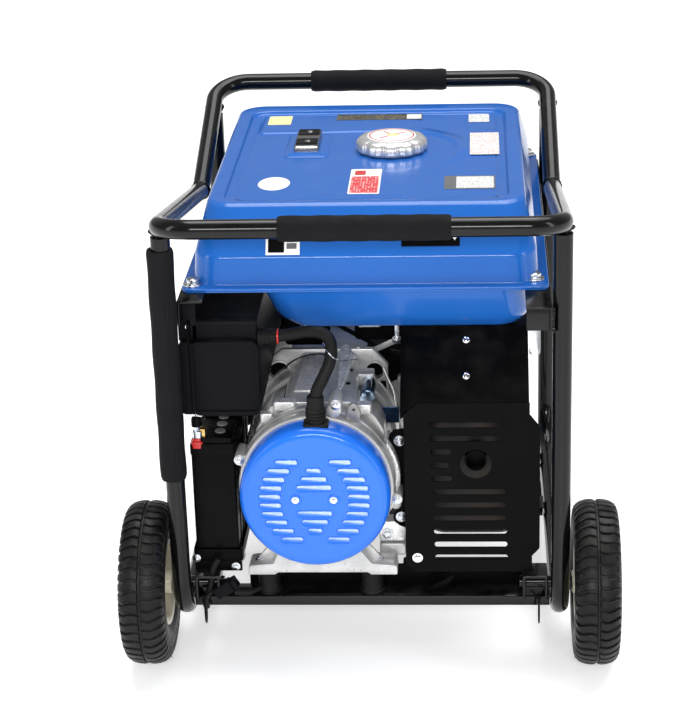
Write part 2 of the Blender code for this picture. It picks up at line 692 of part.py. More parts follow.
def guard_lower(mats):
    """Slotted heat guard in front of the muffler, with its two side returns."""
    x0, x1, z0, z1, cut = 0.0464, 0.2257, 0.131, 0.372, 0.012
    face = [(x0 + cut, z0), (x1 - cut, z0), (x1, z0 + cut), (x1, z1 - cut), (x1 - cut, z1)]
    face += [(x0 + cut, z1), (x0, z1 - cut), (x0, z0 + cut)]
    obj = finish("guard_lower", prism(face, "XZ", -0.2865, -0.285), mats["satin_black"],
                 smooth=False)
    for k, x in enumerate((x0, x1 - 0.0015)):
        side = box((x, -0.286, z0 + cut), (x + 0.0015, -0.245, z1 - cut))
        combine(obj, side, "return_%d" % k, "UNION")
    hole = rod((0.1417, -0.3, 0.2886), (0.1417, -0.27, 0.2886), 0.0205, 24)
    return combine(obj, hole, "outlet_hole", "DIFFERENCE")


def guard_upper(mats):
    """Sloped heat shield above the slotted guard, bent level at its top."""
    top, wall = PAN_LOW - 0.0015, 0.0015
    outline = [(-0.282, 0.376), (-0.2, top), (-0.14, top), (-0.14, top - wall)]
    outline += [(-0.1993, top - wall), (-0.2808, 0.375)]
    bm = prism(outline, "YZ", 0.0464, 0.2114)
    return finish("guard_upper", bm, mats["satin_black"], smooth=False)


def build_engine(mats):
    crankcase(mats)
    crankshaft(mats)
    fan_shroud(mats)
    recoil_cover(mats)
    pull_grip(mats)
    cylinder(mats)
    valve_cover(mats)
    dipstick(mats)
    air_cleaner(mats)
    carburettor(mats)
    choke_lever(mats)
    starter_motor(mats)
    muffler(mats)
    guard_lower(mats)
    guard_upper(mats)


def mount(name, mats, x, y, low):
    """Rubber isolator between a cross member and the engine or alternator foot."""
    top = 0.1249
    middle = (low + top) / 2
    profile = [(low, 0), (low, 0.017), (middle, 0.0145), (top, 0.017), (top, 0)]
    return finish(name, spin(profile, (x, y, 0), (0, 0, 1), 16), mats["rubber"])


def build_mounts(mats):
    mount("mount_near_left", mats, SHAFT_X - 0.07, -0.266, 0.0938)
    mount("mount_near_right", mats, SHAFT_X + 0.07, -0.266, 0.0938)
    mount("mount_mid_left", mats, SHAFT_X - 0.08, 0.035, 0.0808)
    mount("mount_mid_right", mats, SHAFT_X + 0.08, 0.035, 0.0808)


# ---------------------------------------------------------------- controls and battery

BOX_NEAR, BOX_FAR = -0.272, 0.13
BOX_LOW, BOX_TOP = 0.353, 0.4845
PANEL_X = -0.2318


def control_box(mats):
    """Box behind the control panel, open towards the panel."""
    rows = ((-0.1405, 0.0), (-0.228, 0.0), (-0.228, 0.002), (-0.1425, 0.002))
    rings = []
    for x, inset in rows:
        flat = rounded_rect(BOX_NEAR + inset, BOX_FAR - inset, BOX_LOW + inset, BOX_TOP - inset,
                            0.006, x, 2)
        rings.append([(w, u, v) for u, v, w in flat])
    return finish("control_box", loft(rings), mats["plastic"])


def control_panel(mats):
    rings = []
    for x, inset in ((-0.2283, 0.0), (-0.2308, 0.0), (PANEL_X, 0.001)):
        flat = rounded_rect(BOX_NEAR + inset, BOX_FAR - inset, BOX_LOW + inset, BOX_TOP - inset,
                            0.006, x, 2)
        rings.append([(w, u, v) for u, v, w in flat])
    return finish("control_panel", loft(rings), mats["plastic"])


def socket_lid(name, mats, y):
    """Sprung flap over a socket, hinged along its top edge."""
    bm = box((-0.2392, y - 0.026, 0.384), (-0.2326, y + 0.026, 0.436))
    return soften(finish(name, bm, mats["plastic"], (-0.236, y, 0.4375)), 0.0015)


def breaker_lever(mats):
    profile = [(-0.248, 0), (-0.248, 0.0028), (-0.2345, 0.0035), (-0.2345, 0)]
    bm = spin(profile, (0, 0.02, 0.405), (1, 0, 0), 12)
    return finish("breaker_lever", bm, mats["steel"], (-0.2345, 0.02, 0.405))


def key_switch(mats):
    profile = [(-0.2435, 0), (-0.2435, 0.0085), (-0.2322, 0.0095), (-0.2322, 0)]
    bm = spin(profile, (0, 0.09, 0.41), (1, 0, 0), 20)
    obj = finish("key_switch", bm, mats["plastic"], (-0.2322, 0.09, 0.41))
    blade = box((-0.2535, 0.0885, 0.4005), (-0.24, 0.0915, 0.4195))
    return combine(obj, blade, "key_bow", "UNION")


def battery(mats):
    rings = []
    for z, inset in ((0.1455, 0.001), (0.298, 0.001), (0.298, 0.0), (0.318, 0.0), (0.32, 0.002)):
        rings.append(rounded_rect(-0.2375 + inset, -0.1755 - inset, -0.272 + inset, -0.098 - inset,
                                  0.003, z, 1))
    obj = finish("battery", loft(rings), mats["plastic"])
    for k, y in enumerate((-0.258, -0.112)):
        post = box((-0.228, y - 0.006, 0.316), (-0.216, y + 0.006, 0.331))
        combine(obj, post, "post_%d" % k, "UNION")
    return obj


def battery_tray(mats):
    """Shallow tray with a leg down to the base rail."""
    rings = []
    for z, inset in ((0.1405, 0.0), (0.158, 0.0), (0.158, 0.0012), (0.1425, 0.0012)):
        rings.append(rounded_rect(-0.2395 + inset, -0.1732 - inset, -0.2733 + inset,
                                  -0.0955 - inset, 0.0035, z, 1))
    obj = finish("battery_tray", loft(rings), mats["satin_black"])
    leg = box((-0.2393, -0.205, 0.058), (-0.2363, -0.165, 0.1412))
    return combine(obj, leg, "tray_leg", "UNION")


def battery_clamp(mats):
    """Strap over the battery, down to the tray's lips."""
    out, inn, top = (-0.2391, -0.1740), (-0.2381, -0.1749), (0.3215, 0.3203)
    low = 0.1583
    outline = [(out[0], low), (out[0], top[0]), (out[1], top[0]), (out[1], low)]
    outline += [(inn[1], low), (inn[1], top[1]), (inn[0], top[1]), (inn[0], low)]
    bm = prism(outline, "XZ", -0.2, -0.175)
    return finish("battery_clamp", bm, mats["satin_black"], smooth=False)


def build_controls(mats):
    control_box(mats)
    control_panel(mats)
    socket_lid("socket_lid_near", mats, -0.21)
    socket_lid("socket_lid_far", mats, -0.135)
    breaker_lever(mats)
    key_switch(mats)
    battery(mats)
    battery_tray(mats)
    battery_clamp(mats)


def main():
    clear_scene()
    mats = make_materials()
    build_frame(mats)
    build_wheels(mats)
    build_tank(mats)
    build_alternator(mats)
    build_engine(mats)
    build_mounts(mats)
    build_controls(mats)


main()
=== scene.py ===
"""Looks of the portable generator: paint, castings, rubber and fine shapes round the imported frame.

Metres, +Z up. The alternator end, with the wheels, faces -Y. The control panel faces -X.
"""
import json
import math

import bmesh
import bpy
from mathutils import Matrix, Vector


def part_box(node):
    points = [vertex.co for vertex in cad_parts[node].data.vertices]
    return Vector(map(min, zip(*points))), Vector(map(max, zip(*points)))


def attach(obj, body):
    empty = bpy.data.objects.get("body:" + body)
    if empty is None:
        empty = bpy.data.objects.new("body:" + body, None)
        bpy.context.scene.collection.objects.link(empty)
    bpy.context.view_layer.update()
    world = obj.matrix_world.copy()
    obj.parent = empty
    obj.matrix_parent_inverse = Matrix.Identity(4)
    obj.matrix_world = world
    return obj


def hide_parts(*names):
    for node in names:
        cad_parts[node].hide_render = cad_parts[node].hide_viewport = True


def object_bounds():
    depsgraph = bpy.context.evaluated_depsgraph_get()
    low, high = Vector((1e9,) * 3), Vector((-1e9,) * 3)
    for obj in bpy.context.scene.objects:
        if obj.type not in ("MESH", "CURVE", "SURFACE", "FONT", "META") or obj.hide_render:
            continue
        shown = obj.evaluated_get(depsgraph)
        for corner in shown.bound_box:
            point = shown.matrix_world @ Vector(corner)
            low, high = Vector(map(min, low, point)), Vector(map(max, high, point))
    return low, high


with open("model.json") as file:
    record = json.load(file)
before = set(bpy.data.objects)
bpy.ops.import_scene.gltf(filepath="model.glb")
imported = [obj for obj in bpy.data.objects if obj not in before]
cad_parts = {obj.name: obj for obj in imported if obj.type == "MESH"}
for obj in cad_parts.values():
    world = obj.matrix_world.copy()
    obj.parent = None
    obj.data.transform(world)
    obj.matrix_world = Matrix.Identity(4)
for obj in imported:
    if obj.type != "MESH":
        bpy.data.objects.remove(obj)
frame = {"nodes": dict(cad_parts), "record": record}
CAD_BOX = [list(corner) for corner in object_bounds()]
BODY_OF = {node: body for body, nodes in frame["record"]["behaviour"]["bodies"].items() for node in nodes}
X, Y, Z = Vector((1, 0, 0)), Vector((0, 1, 0)), Vector((0, 0, 1))

# driving sizes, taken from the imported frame
FLOOR_Z = CAD_BOX[0][2]
TUBE_R = 0.0125
LOOP_LOW, LOOP_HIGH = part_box("frame_loop_right")
FRAME_X = LOOP_HIGH.x - TUBE_R
UPRIGHT_Y = LOOP_HIGH.y - TUBE_R
BASE_Z = LOOP_LOW.z + TUBE_R
HOOP_LOW, HOOP_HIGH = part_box("frame_hoop_near")
BAR_Y = -HOOP_LOW.y - TUBE_R
BAR_Z = HOOP_HIGH.z - TUBE_R
KINK_Y = 0.1
KINK_Z = 0.548
SHAFT_X = sum(corner.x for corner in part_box("rotor")) / 2
SHAFT_Z = sum(corner.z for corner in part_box("rotor")) / 2
CAP_LOW, CAP_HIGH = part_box("fuel_cap")
CAP_X = (CAP_LOW.x + CAP_HIGH.x) / 2
CAP_Y = (CAP_LOW.y + CAP_HIGH.y) / 2
TANK_LOW, TANK_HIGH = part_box("tank_upper")
TOP_Z = 0.6175
SLANT = math.radians(25)

# light: the glow of the floor and the surroundings, the sun, and each softbox as
# (name, place, aim, width, height, watts)
FLOOR_GLOW = 0.42
SKY_GLOW = 0.34
SUN_POWER = 2.1
SOFTBOXES = (
    ("front_strip", (0.1, -4.0, 2.1), (0, 0, 0.4), 2.6, 0.55, 110),
    ("overhead_box", (0.0, 0.4, 2.5), (0, 0, 0.4), 1.6, 1.0, 18),
    ("left_bank", (-2.3, -1.2, 1.3), (0, 0, 0.35), 0.4, 1.8, 12),
    ("right_bank", (2.3, -1.2, 1.3), (0, 0, 0.35), 0.4, 1.8, 12),
)


# ---------------------------------------------------------------- node groups


def new_group(name, inputs, outputs):
    """A shader node group with named sockets; inputs are (name, kind, default)."""
    group = bpy.data.node_groups.new(name, "ShaderNodeTree")
    for label, kind, value in inputs:
        socket = group.interface.new_socket(name=label, in_out="INPUT", socket_type="NodeSocket" + kind)
        socket.default_value = value
    for label, kind in outputs:
        group.interface.new_socket(name=label, in_out="OUTPUT", socket_type="NodeSocket" + kind)
    start = group.nodes.new("NodeGroupInput")
    end = group.nodes.new("NodeGroupOutput")
    return group, start.outputs, end.inputs


class Wiring:
    """Adds nodes to one tree and joins them; a socket or a plain value can feed any input."""

    def __init__(self, tree):
        self.tree = tree

    def node(self, kind, feeds=None, **settings):
        made = self.tree.nodes.new("ShaderNode" + kind)
        for key, value in settings.items():
            setattr(made, key, value)
        for key, value in (feeds or {}).items():
            if isinstance(value, bpy.types.NodeSocket):
                self.tree.links.new(value, made.inputs[key])
            else:
                made.inputs[key].default_value = value
        return made

    def math(self, operation, a, b=0.0, clamp=False):
        return self.node("Math", {0: a, 1: b}, operation=operation, use_clamp=clamp).outputs[0]

    def mix(self, amount, a, b):
        made = self.node("Mix", {0: amount, 6: a, 7: b}, data_type="RGBA")
        return made.outputs[2]

    def spread(self, value, low, high, to_low=0.0, to_high=1.0):
        feeds = {"Value": value, "From Min": low, "From Max": high, "To Min": to_low, "To Max": to_high}
        return self.node("MapRange", feeds).outputs[0]

    def place(self):
        return self.node("TexCoord").outputs["Object"]

    def noise(self, scale, detail=3.0, stretch=None, rough=0.55):
        where = self.place()
        if stretch:
            where = self.node("Mapping", {"Vector": where, "Scale": stretch}).outputs[0]
        feeds = {"Vector": where, "Scale": scale, "Detail": detail, "Roughness": rough}
        return self.node("TexNoise", feeds).outputs["Fac"]


def surface_group():
    """Colour drift, uneven gloss, fine grain and settled dust, for any hard surface."""
    inputs = (("Colour", "Color", (0.5, 0.5, 0.5, 1)), ("Drift colour", "Color", (0.5, 0.5, 0.5, 1)),
            ("Drift", "Float", 0.5), ("Patch scale", "Float", 12.0), ("Roughness", "Float", 0.4),
            ("Gloss spread", "Float", 0.08), ("Grain scale", "Float", 400.0),
            ("Grain depth", "Float", 0.0001), ("Dust", "Float", 0.1), ("Scuffs", "Float", 0.1))
    group, given, result = new_group("worn_surface", inputs, (("Colour", "Color"), ("Roughness", "Float"),
            ("Normal", "Vector")))
    w = Wiring(group)
    patches = w.noise(given["Patch scale"], 4.0)
    drift = w.math("MULTIPLY", w.spread(patches, 0.35, 0.65), given["Drift"], True)
    colour = w.mix(drift, given["Colour"], given["Drift colour"])
    gloss = w.noise(w.math("MULTIPLY", given["Patch scale"], 5.0), 5.0)
    change = w.math("MULTIPLY", w.math("SUBTRACT", gloss, 0.5), given["Gloss spread"])
    rough = w.math("ADD", given["Roughness"], w.math("MULTIPLY", change, 2.0))
    streaks = w.noise(60.0, 6.0, (1.0, 9.0, 1.0), 0.75)
    scuff = w.math("MULTIPLY", w.spread(streaks, 0.62, 0.72), given["Scuffs"], True)
    rough = w.math("ADD", rough, w.math("MULTIPLY", scuff, 0.35))
    up = w.node("SeparateXYZ", {0: w.node("NewGeometry").outputs["Normal"]}).outputs[2]
    settled = w.math("MULTIPLY", w.spread(up, 0.55, 1.0), w.spread(w.noise(35.0, 6.0), 0.42, 0.7))
    dust = w.math("MULTIPLY", settled, given["Dust"], True)
    colour = w.mix(dust, colour, (0.42, 0.4, 0.37, 1))
    rough = w.math("ADD", rough, w.math("MULTIPLY", dust, 0.5), True)
    grain = w.noise(given["Grain scale"], 4.0)
    feeds = {"Strength": 1.0, "Distance": given["Grain depth"], "Height": grain}
    bump = w.node("Bump", feeds)
    group.links.new(colour, result["Colour"])
    group.links.new(rough, result["Roughness"])
    group.links.new(bump.outputs["Normal"], result["Normal"])
    return group


def brushed_group():
    """Long fine machining lines along one axis."""
    inputs = (("Roughness", "Float", 0.3), ("Line scale", "Float", 300.0), ("Along", "Vector", (1, 1, 1)),
            ("Depth", "Float", 0.00005))
    group, given, result = new_group("machined_lines", inputs, (("Roughness", "Float"),
            ("Normal", "Vector")))
    w = Wiring(group)
    where = w.node("VectorMath", {0: w.place(), 1: given["Along"]}, operation="MULTIPLY").outputs[0]
    feeds = {"Vector": where, "Scale": given["Line scale"], "Detail": 3.0}
    lines = w.node("TexNoise", feeds).outputs["Fac"]
    rough = w.math("ADD", given["Roughness"], w.math("MULTIPLY", w.math("SUBTRACT", lines, 0.5), 0.35),
            True)
    bump = w.node("Bump", {"Strength": 1.0, "Distance": given["Depth"], "Height": lines})
    group.links.new(rough, result["Roughness"])
    group.links.new(bump.outputs["Normal"], result["Normal"])
    return group


def cells_group():
    """Small closed cells, for foam, and shallow pits, for castings."""
    inputs = (("Cell scale", "Float", 600.0), ("Depth", "Float", 0.0003))
    group, given, result = new_group("fine_cells", inputs, (("Pits", "Float"), ("Normal", "Vector")))
    w = Wiring(group)
    feeds = {"Vector": w.place(), "Scale": given["Cell scale"], "Randomness": 1.0}
    cells = w.node("TexVoronoi", feeds).outputs["Distance"]
    bump = w.node("Bump", {"Strength": 1.0, "Distance": given["Depth"], "Height": cells})
    group.links.new(w.spread(cells, 0.0, 0.6), result["Pits"])
    group.links.new(bump.outputs["Normal"], result["Normal"])
    return group


def print_group():
    """Rows of plain bars on a printed label, with no letters."""
    inputs = (("Paper", "Color", (0.8, 0.8, 0.8, 1)), ("Ink", "Color", (0.02, 0.02, 0.02, 1)),
            ("Row scale", "Float", 90.0), ("Turn", "Float", 0.0))
    group, given, result = new_group("printed_bars", inputs, (("Colour", "Color"),))
    w = Wiring(group)
    turned_place = w.node("VectorRotate", {"Vector": w.place(), "Angle": given["Turn"]},
            rotation_type="Z_AXIS").outputs[0]
    feeds = {"Vector": turned_place, "Scale": given["Row scale"], "Color1": (1, 1, 1, 1), "Color2":
            (0, 0, 0, 1), "Mortar": (1, 1, 1, 1), "Mortar Size": 0.09, "Brick Width": 0.35, "Row Height":
            0.3}
    bars = w.node("TexBrick", feeds).outputs["Color"]
    mask = w.spread(bars, 0.45, 0.55)
    group.links.new(w.mix(mask, given["Ink"], given["Paper"]), result["Colour"])
    return group


GROUPS = {"surface": surface_group(), "brushed": brushed_group(), "cells": cells_group(), "print":
        print_group()}


# ---------------------------------------------------------------- materials


COAT_ROUGHNESS = 0.04


def shader(name, metallic=0.0, coat=0.0, ior=1.5, shine=0.5):
    """A material with one Principled BSDF; its constant values are set on its own sockets."""
    mat = bpy.data.materials.new(name)
    mat.use_nodes = True
    bsdf = mat.node_tree.nodes["Principled BSDF"]
    constants = {"Metallic": metallic, "Coat Weight": coat, "Coat Roughness": COAT_ROUGHNESS, "IOR": ior,
            "Specular IOR Level": shine}
    for socket, value in constants.items():
        bsdf.inputs[socket].default_value = value
    return mat, Wiring(mat.node_tree), bsdf


def use_group(wiring, key, **feeds):
    """Place a shared node group and feed its sockets."""
    made = wiring.tree.nodes.new("ShaderNodeGroup")
    made.node_tree = GROUPS[key]
    for label, value in feeds.items():
        socket = made.inputs[label.replace("_", " ")]
        if isinstance(value, bpy.types.NodeSocket):
            wiring.tree.links.new(value, socket)
        else:
            socket.default_value = (*value, 1.0) if socket.type == "RGBA" else value
    return made.outputs


def dress(mat, wiring, bsdf, colour, rough, normal=None):
    """Feed a finish's colour, roughness and relief into its shader."""
    for source, target in ((colour, "Base Color"), (rough, "Roughness"), (normal, "Normal")):
        if source:
            wiring.tree.links.new(source, bsdf.inputs[target])
    return mat


def hard_finish(name, colour, drift_colour, rough, metallic=0.0, coat=0.0, shine=0.5, **feel):
    """Paint, plastic or metal made from the worn surface group."""
    mat, wiring, bsdf = shader(name, metallic, coat, shine=shine)
    out = use_group(wiring, "surface", Colour=colour, Drift_colour=drift_colour, Roughness=rough, **feel)
    return dress(mat, wiring, bsdf, out["Colour"], out["Roughness"], out["Normal"])


def machined_finish(name, colour, rough, along, scale=300.0):
    """Bare steel with fine turning lines."""
    mat, wiring, bsdf = shader(name, 1.0)
    out = use_group(wiring, "surface", Colour=colour, Drift_colour=[c * 0.72 for c in colour], Drift=0.6,
            Patch_scale=25.0, Roughness=rough, Dust=0.05)
    lines = use_group(wiring, "brushed", Roughness=out["Roughness"], Line_scale=scale, Along=along)
    return dress(mat, wiring, bsdf, out["Colour"], lines["Roughness"], lines["Normal"])


def cast_finish(name, colour, rough):
    """Die-cast aluminium: fine sand grain over a slightly clouded skin."""
    mat, wiring, bsdf = shader(name, 0.45)
    out = use_group(wiring, "surface", Colour=colour, Drift_colour=[c * 0.6 for c in colour], Drift=0.55,
            Patch_scale=30.0, Roughness=rough, Gloss_spread=0.16, Dust=0.08)
    cells = use_group(wiring, "cells", Cell_scale=700.0, Depth=0.00009)
    shade = wiring.mix(wiring.spread(cells["Pits"], 0.0, 0.35), tuple(c * 0.7 for c in colour) + (1.0,),
            out["Colour"])
    return dress(mat, wiring, bsdf, shade, out["Roughness"], cells["Normal"])


def foam_finish(name):
    """Soft black closed-cell foam."""
    mat, wiring, bsdf = shader(name, shine=0.12)
    cells = use_group(wiring, "cells", Cell_scale=900.0, Depth=0.0004)
    out = use_group(wiring, "surface", Colour=(0.0052, 0.0054, 0.0066), Drift_colour=(0.0085, 0.0087, 0.01),
            Roughness=0.74, Dust=0.02, Patch_scale=22.0)
    shade = wiring.mix(cells["Pits"], (0.006, 0.006, 0.007, 1), out["Colour"])
    return dress(mat, wiring, bsdf, shade, out["Roughness"], cells["Normal"])


def laminated_finish(name):
    """A stack of thin iron sheets seen on its outer edge."""
    mat, wiring, bsdf = shader(name, 0.85)
    where = wiring.place()
    feeds = {"Vector": where, "Scale": 330.0, "Distortion": 0.6, "Detail": 2.0}
    sheets = wiring.node("TexWave", feeds, bands_direction="Y").outputs["Fac"]
    out = use_group(wiring, "surface", Colour=(0.055, 0.055, 0.06), Drift_colour=(0.1, 0.07, 0.05),
            Roughness=0.42, Dust=0.1, Patch_scale=18.0)
    bump = wiring.node("Bump", {"Strength": 1.0, "Distance": 0.0004, "Height": sheets})
    shade = wiring.mix(wiring.spread(sheets, 0.0, 0.5), (0.012, 0.012, 0.013, 1), out["Colour"])
    return dress(mat, wiring, bsdf, shade, out["Roughness"], bump.outputs["Normal"])


def winding_finish(name):
    """Varnished copper wire wound in close turns."""
    mat, wiring, bsdf = shader(name, 0.7, 0.6)
    feeds = {"Vector": wiring.place(), "Scale": 260.0, "Distortion": 1.5, "Detail": 2.0}
    turns = wiring.node("TexWave", feeds, bands_direction="DIAGONAL").outputs["Fac"]
    bump = wiring.node("Bump", {"Strength": 1.0, "Distance": 0.0006, "Height": turns})
    shade = wiring.mix(turns, (0.1, 0.028, 0.012, 1), (0.52, 0.2, 0.08, 1))
    return dress(mat, wiring, bsdf, shade, wiring.spread(turns, 0.0, 1.0, 0.45, 0.25),
            bump.outputs["Normal"])


def label_finish(name, paper, ink, rows=90.0, turn=0.0):
    """Printed paper under a clear film, with rows of plain bars."""
    mat, wiring, bsdf = shader(name, coat=0.4)
    bars = use_group(wiring, "print", Paper=paper, Ink=ink, Row_scale=rows, Turn=turn)
    out = use_group(wiring, "surface", Colour=bars["Colour"], Drift_colour=paper, Drift=0.1, Roughness=0.32,
            Dust=0.08, Grain_depth=0.00003)
    return dress(mat, wiring, bsdf, out["Colour"], out["Roughness"], out["Normal"])


def heated_finish(name):
    """Bare steel coloured straw and blue by heat."""
    mat, wiring, bsdf = shader(name, 1.0)
    heat = wiring.noise(14.0, 3.0)
    ramp = wiring.node("ValToRGB", {"Fac": heat})
    steps = ((0.36, (0.17, 0.16, 0.15, 1)), (0.52, (0.14, 0.1, 0.06, 1)), (0.66, (0.05, 0.05, 0.08, 1)))
    for stop, (position, colour) in zip(ramp.color_ramp.elements, (steps[0], steps[2])):
        stop.position = position
        stop.color = colour
    ramp.color_ramp.elements.new(steps[1][0]).color = steps[1][1]
    out = use_group(wiring, "surface", Colour=ramp.outputs["Color"], Drift_colour=(0.05, 0.045, 0.04),
            Drift=0.5, Roughness=0.4, Gloss_spread=0.2, Dust=0.12)
    return dress(mat, wiring, bsdf, out["Colour"], out["Roughness"], out["Normal"])


def clear_finish(name):
    """Clear plastic for windows."""
    mat, wiring, bsdf = shader(name, ior=1.45)
    bsdf.inputs["Transmission Weight"].default_value = 1.0
    out = use_group(wiring, "surface", Colour=(0.9, 0.92, 0.93), Drift_colour=(0.8, 0.84, 0.86),
            Roughness=0.05, Gloss_spread=0.04, Grain_depth=0.00001, Dust=0.05)
    return dress(mat, wiring, bsdf, out["Colour"], out["Roughness"])


BLACK = (0.0019, 0.0019, 0.0022)
SOOT = (0.0036, 0.0036, 0.004)
# name: (slot, kind of finish, its main values, its feel)
FINISH_TABLE = {
    "black_enamel": ("frame_paint", hard_finish, (BLACK, SOOT, 0.17), dict(coat=0.16, shine=0.19,
            Grain_scale=260.0, Grain_depth=0.00006, Dust=0.03, Scuffs=0.25)),
    "tank_enamel": ("tank_paint", hard_finish, ((0.012, 0.11, 0.43), (0.009, 0.095, 0.38), 0.2),
            dict(coat=0.22, shine=0.24, Patch_scale=5.0, Grain_scale=220.0, Grain_depth=0.00005, Dust=0.02,
            Drift=0.35, Gloss_spread=0.04)),
    "cover_enamel": ("cover_paint", hard_finish, ((0.012, 0.15, 0.72), (0.01, 0.125, 0.64), 0.2),
            dict(coat=0.3, shine=0.3, Patch_scale=8.0, Grain_scale=240.0, Grain_depth=0.00006, Dust=0.02,
            Drift=0.4)),
    "rim_enamel": ("rim_paint", hard_finish, ((0.74, 0.7, 0.55), (0.66, 0.61, 0.47), 0.3),
            dict(coat=0.3, Dust=0.15, Scuffs=0.2)),
    "satin_black": ("satin_black", hard_finish, (BLACK, SOOT, 0.42), dict(shine=0.045, Grain_scale=900.0,
            Grain_depth=0.0001, Dust=0.03, Scuffs=0.15)),
    "moulded_black": ("plastic", hard_finish, ((0.0032, 0.0034, 0.005), (0.0048, 0.005, 0.0068), 0.42),
            dict(shine=0.07, Grain_scale=1300.0, Grain_depth=0.00018, Dust=0.03, Scuffs=0.1)),
    "smooth_black": ("plastic", hard_finish, (BLACK, SOOT, 0.28),
            dict(shine=0.05, Grain_depth=0.00004, Dust=0.03)),
    "red_plastic": ("red_plastic", hard_finish, ((0.52, 0.018, 0.014), (0.42, 0.012, 0.01), 0.3),
            dict(Dust=0.05)),
    "grey_plastic": ("plastic", hard_finish, ((0.16, 0.165, 0.17), (0.12, 0.12, 0.13), 0.4),
            dict(Dust=0.05)),
    "rubber": ("rubber", hard_finish, (SOOT, (0.008, 0.008, 0.008), 0.5), dict(shine=0.16,
            Grain_scale=700.0, Grain_depth=0.0002, Dust=0.08)),
    "tyre_rubber": ("tyre", hard_finish, ((0.0036, 0.0036, 0.0038), (0.007, 0.0066, 0.0062), 0.42),
            dict(shine=0.2, Grain_scale=500.0, Grain_depth=0.0003, Dust=0.1, Gloss_spread=0.2, Scuffs=0.5)),
    "foam": ("foam", foam_finish, (), dict()),
    "chrome": ("chrome", hard_finish, ((0.8, 0.8, 0.81), (0.7, 0.7, 0.72), 0.1, 1.0),
            dict(Grain_depth=0.00003, Dust=0.03)),
    "grey_metal": ("chrome", hard_finish, ((0.3, 0.3, 0.31), (0.22, 0.22, 0.23), 0.22, 1.0),
            dict(Dust=0.03)),
    "cap_metal": ("chrome", hard_finish, ((0.66, 0.66, 0.66), (0.56, 0.56, 0.57), 0.3, 0.7),
            dict(Grain_depth=0.00003, Dust=0.03)),
    "zinc": ("steel", hard_finish, ((0.62, 0.64, 0.66), (0.52, 0.55, 0.62), 0.24, 1.0), dict(Dust=0.04,
            Patch_scale=60.0, Gloss_spread=0.15)),
    "steel": ("steel", machined_finish, ((0.52, 0.52, 0.53), 0.26, (1.0, 0.06, 1.0)), dict()),
    "blued_plate": ("steel", hard_finish, ((0.05, 0.12, 0.26), (0.1, 0.16, 0.3), 0.28, 1.0),
            dict(Dust=0.04)),
    "cast": ("aluminium", cast_finish, ((0.6, 0.6, 0.59), 0.32), dict()),
    # a lighter copy of the cast aluminium: painted highlight for the castings that catch the strong lights
    "cast_painted_highlight": ("aluminium", cast_finish, ((0.9, 0.9, 0.9), 0.26), dict()),
    "iron": ("iron", hard_finish, ((0.05, 0.05, 0.055), (0.1, 0.06, 0.04), 0.5, 0.8), dict(Dust=0.1)),
    "stator_steel": ("iron", hard_finish, ((0.26, 0.25, 0.245), (0.17, 0.16, 0.15), 0.36, 0.5),
            dict(Dust=0.08, Patch_scale=16.0)),
    "blued_steel": ("steel", hard_finish, ((0.3, 0.4, 0.5), (0.18, 0.24, 0.34), 0.16, 1.0),
            dict(Dust=0.03)),
    "laminations": ("iron", laminated_finish, (), dict()),
    "winding": ("iron", winding_finish, (), dict()),
    "dark_steel": ("steel", hard_finish, ((0.045, 0.043, 0.042), (0.075, 0.06, 0.05), 0.42, 0.9),
            dict(Dust=0.06)),
    "heated_steel": ("steel", heated_finish, (), dict()),
    "brass": ("steel", hard_finish, ((0.62, 0.43, 0.16), (0.5, 0.34, 0.12), 0.28, 1.0), dict(Dust=0.04)),
    "white_label": ("plastic", hard_finish, ((0.86, 0.86, 0.85), (0.8, 0.8, 0.79), 0.35),
            dict(coat=0.3, Grain_depth=0.00003, Dust=0.05)),
    "grey_label": ("plastic", hard_finish, ((0.1, 0.105, 0.11), (0.13, 0.13, 0.135), 0.4), dict(Dust=0.05)),
    "red_label": ("red_plastic", label_finish, ((0.66, 0.03, 0.04), (0.88, 0.84, 0.82), 78.0, math.pi / 2),
            dict()),
    "bars_label": ("plastic", label_finish, ((0.78, 0.78, 0.76), (0.06, 0.06, 0.065), 120.0), dict()),
    "yellow_label": ("plastic", label_finish, ((0.86, 0.8, 0.42), (0.8, 0.7, 0.12), 75.0), dict()),
    "icon_label": ("plastic", label_finish, ((0.82, 0.8, 0.78), (0.5, 0.1, 0.06), 66.0), dict()),
    "dark_label": ("plastic", label_finish, ((0.012, 0.012, 0.012), (0.42, 0.38, 0.16), 110.0), dict()),
    "clear": ("plastic", clear_finish, (), dict()),
    "copper_lead": ("red_plastic", hard_finish, ((0.45, 0.02, 0.015), (0.36, 0.015, 0.012), 0.42),
            dict(Dust=0.05)),
}
FINISHES = {name: kind(name, *values, **feel) for name, (_, kind, values, feel) in FINISH_TABLE.items()}


# ---------------------------------------------------------------- modelling helpers


def deselect():
    bpy.ops.object.select_all(action="DESELECT")


def take(obj):
    """Make one object the only selected one, and the active one."""
    deselect()
    obj.select_set(True)
    bpy.context.view_layer.objects.active = obj
    return obj


def fix_place():
    bpy.ops.object.transform_apply(location=True, rotation=True, scale=True)


def apply(obj, kind, **settings):
    """Add one modifier and apply it at once."""
    modifier = obj.modifiers.new(kind.lower(), kind)
    for key, value in settings.items():
        setattr(modifier, key, value)
    take(obj)
    bpy.ops.object.modifier_apply(modifier=modifier.name)
    return obj


def ease_edges(obj, width, segments=2, angle=30):
    return apply(obj, "BEVEL", width=width, segments=segments, limit_method="ANGLE",
            angle_limit=math.radians(angle), harden_normals=False)


def block(low, high, bevel=0.0, segments=2):
    """A cuboid between two corners, with eased edges."""
    low, high = Vector(low), Vector(high)
    bpy.ops.mesh.primitive_cube_add(size=1, location=(low + high) / 2)
    obj = take(bpy.context.object)
    obj.scale = high - low
    fix_place()
    return ease_edges(obj, bevel, segments) if bevel else obj


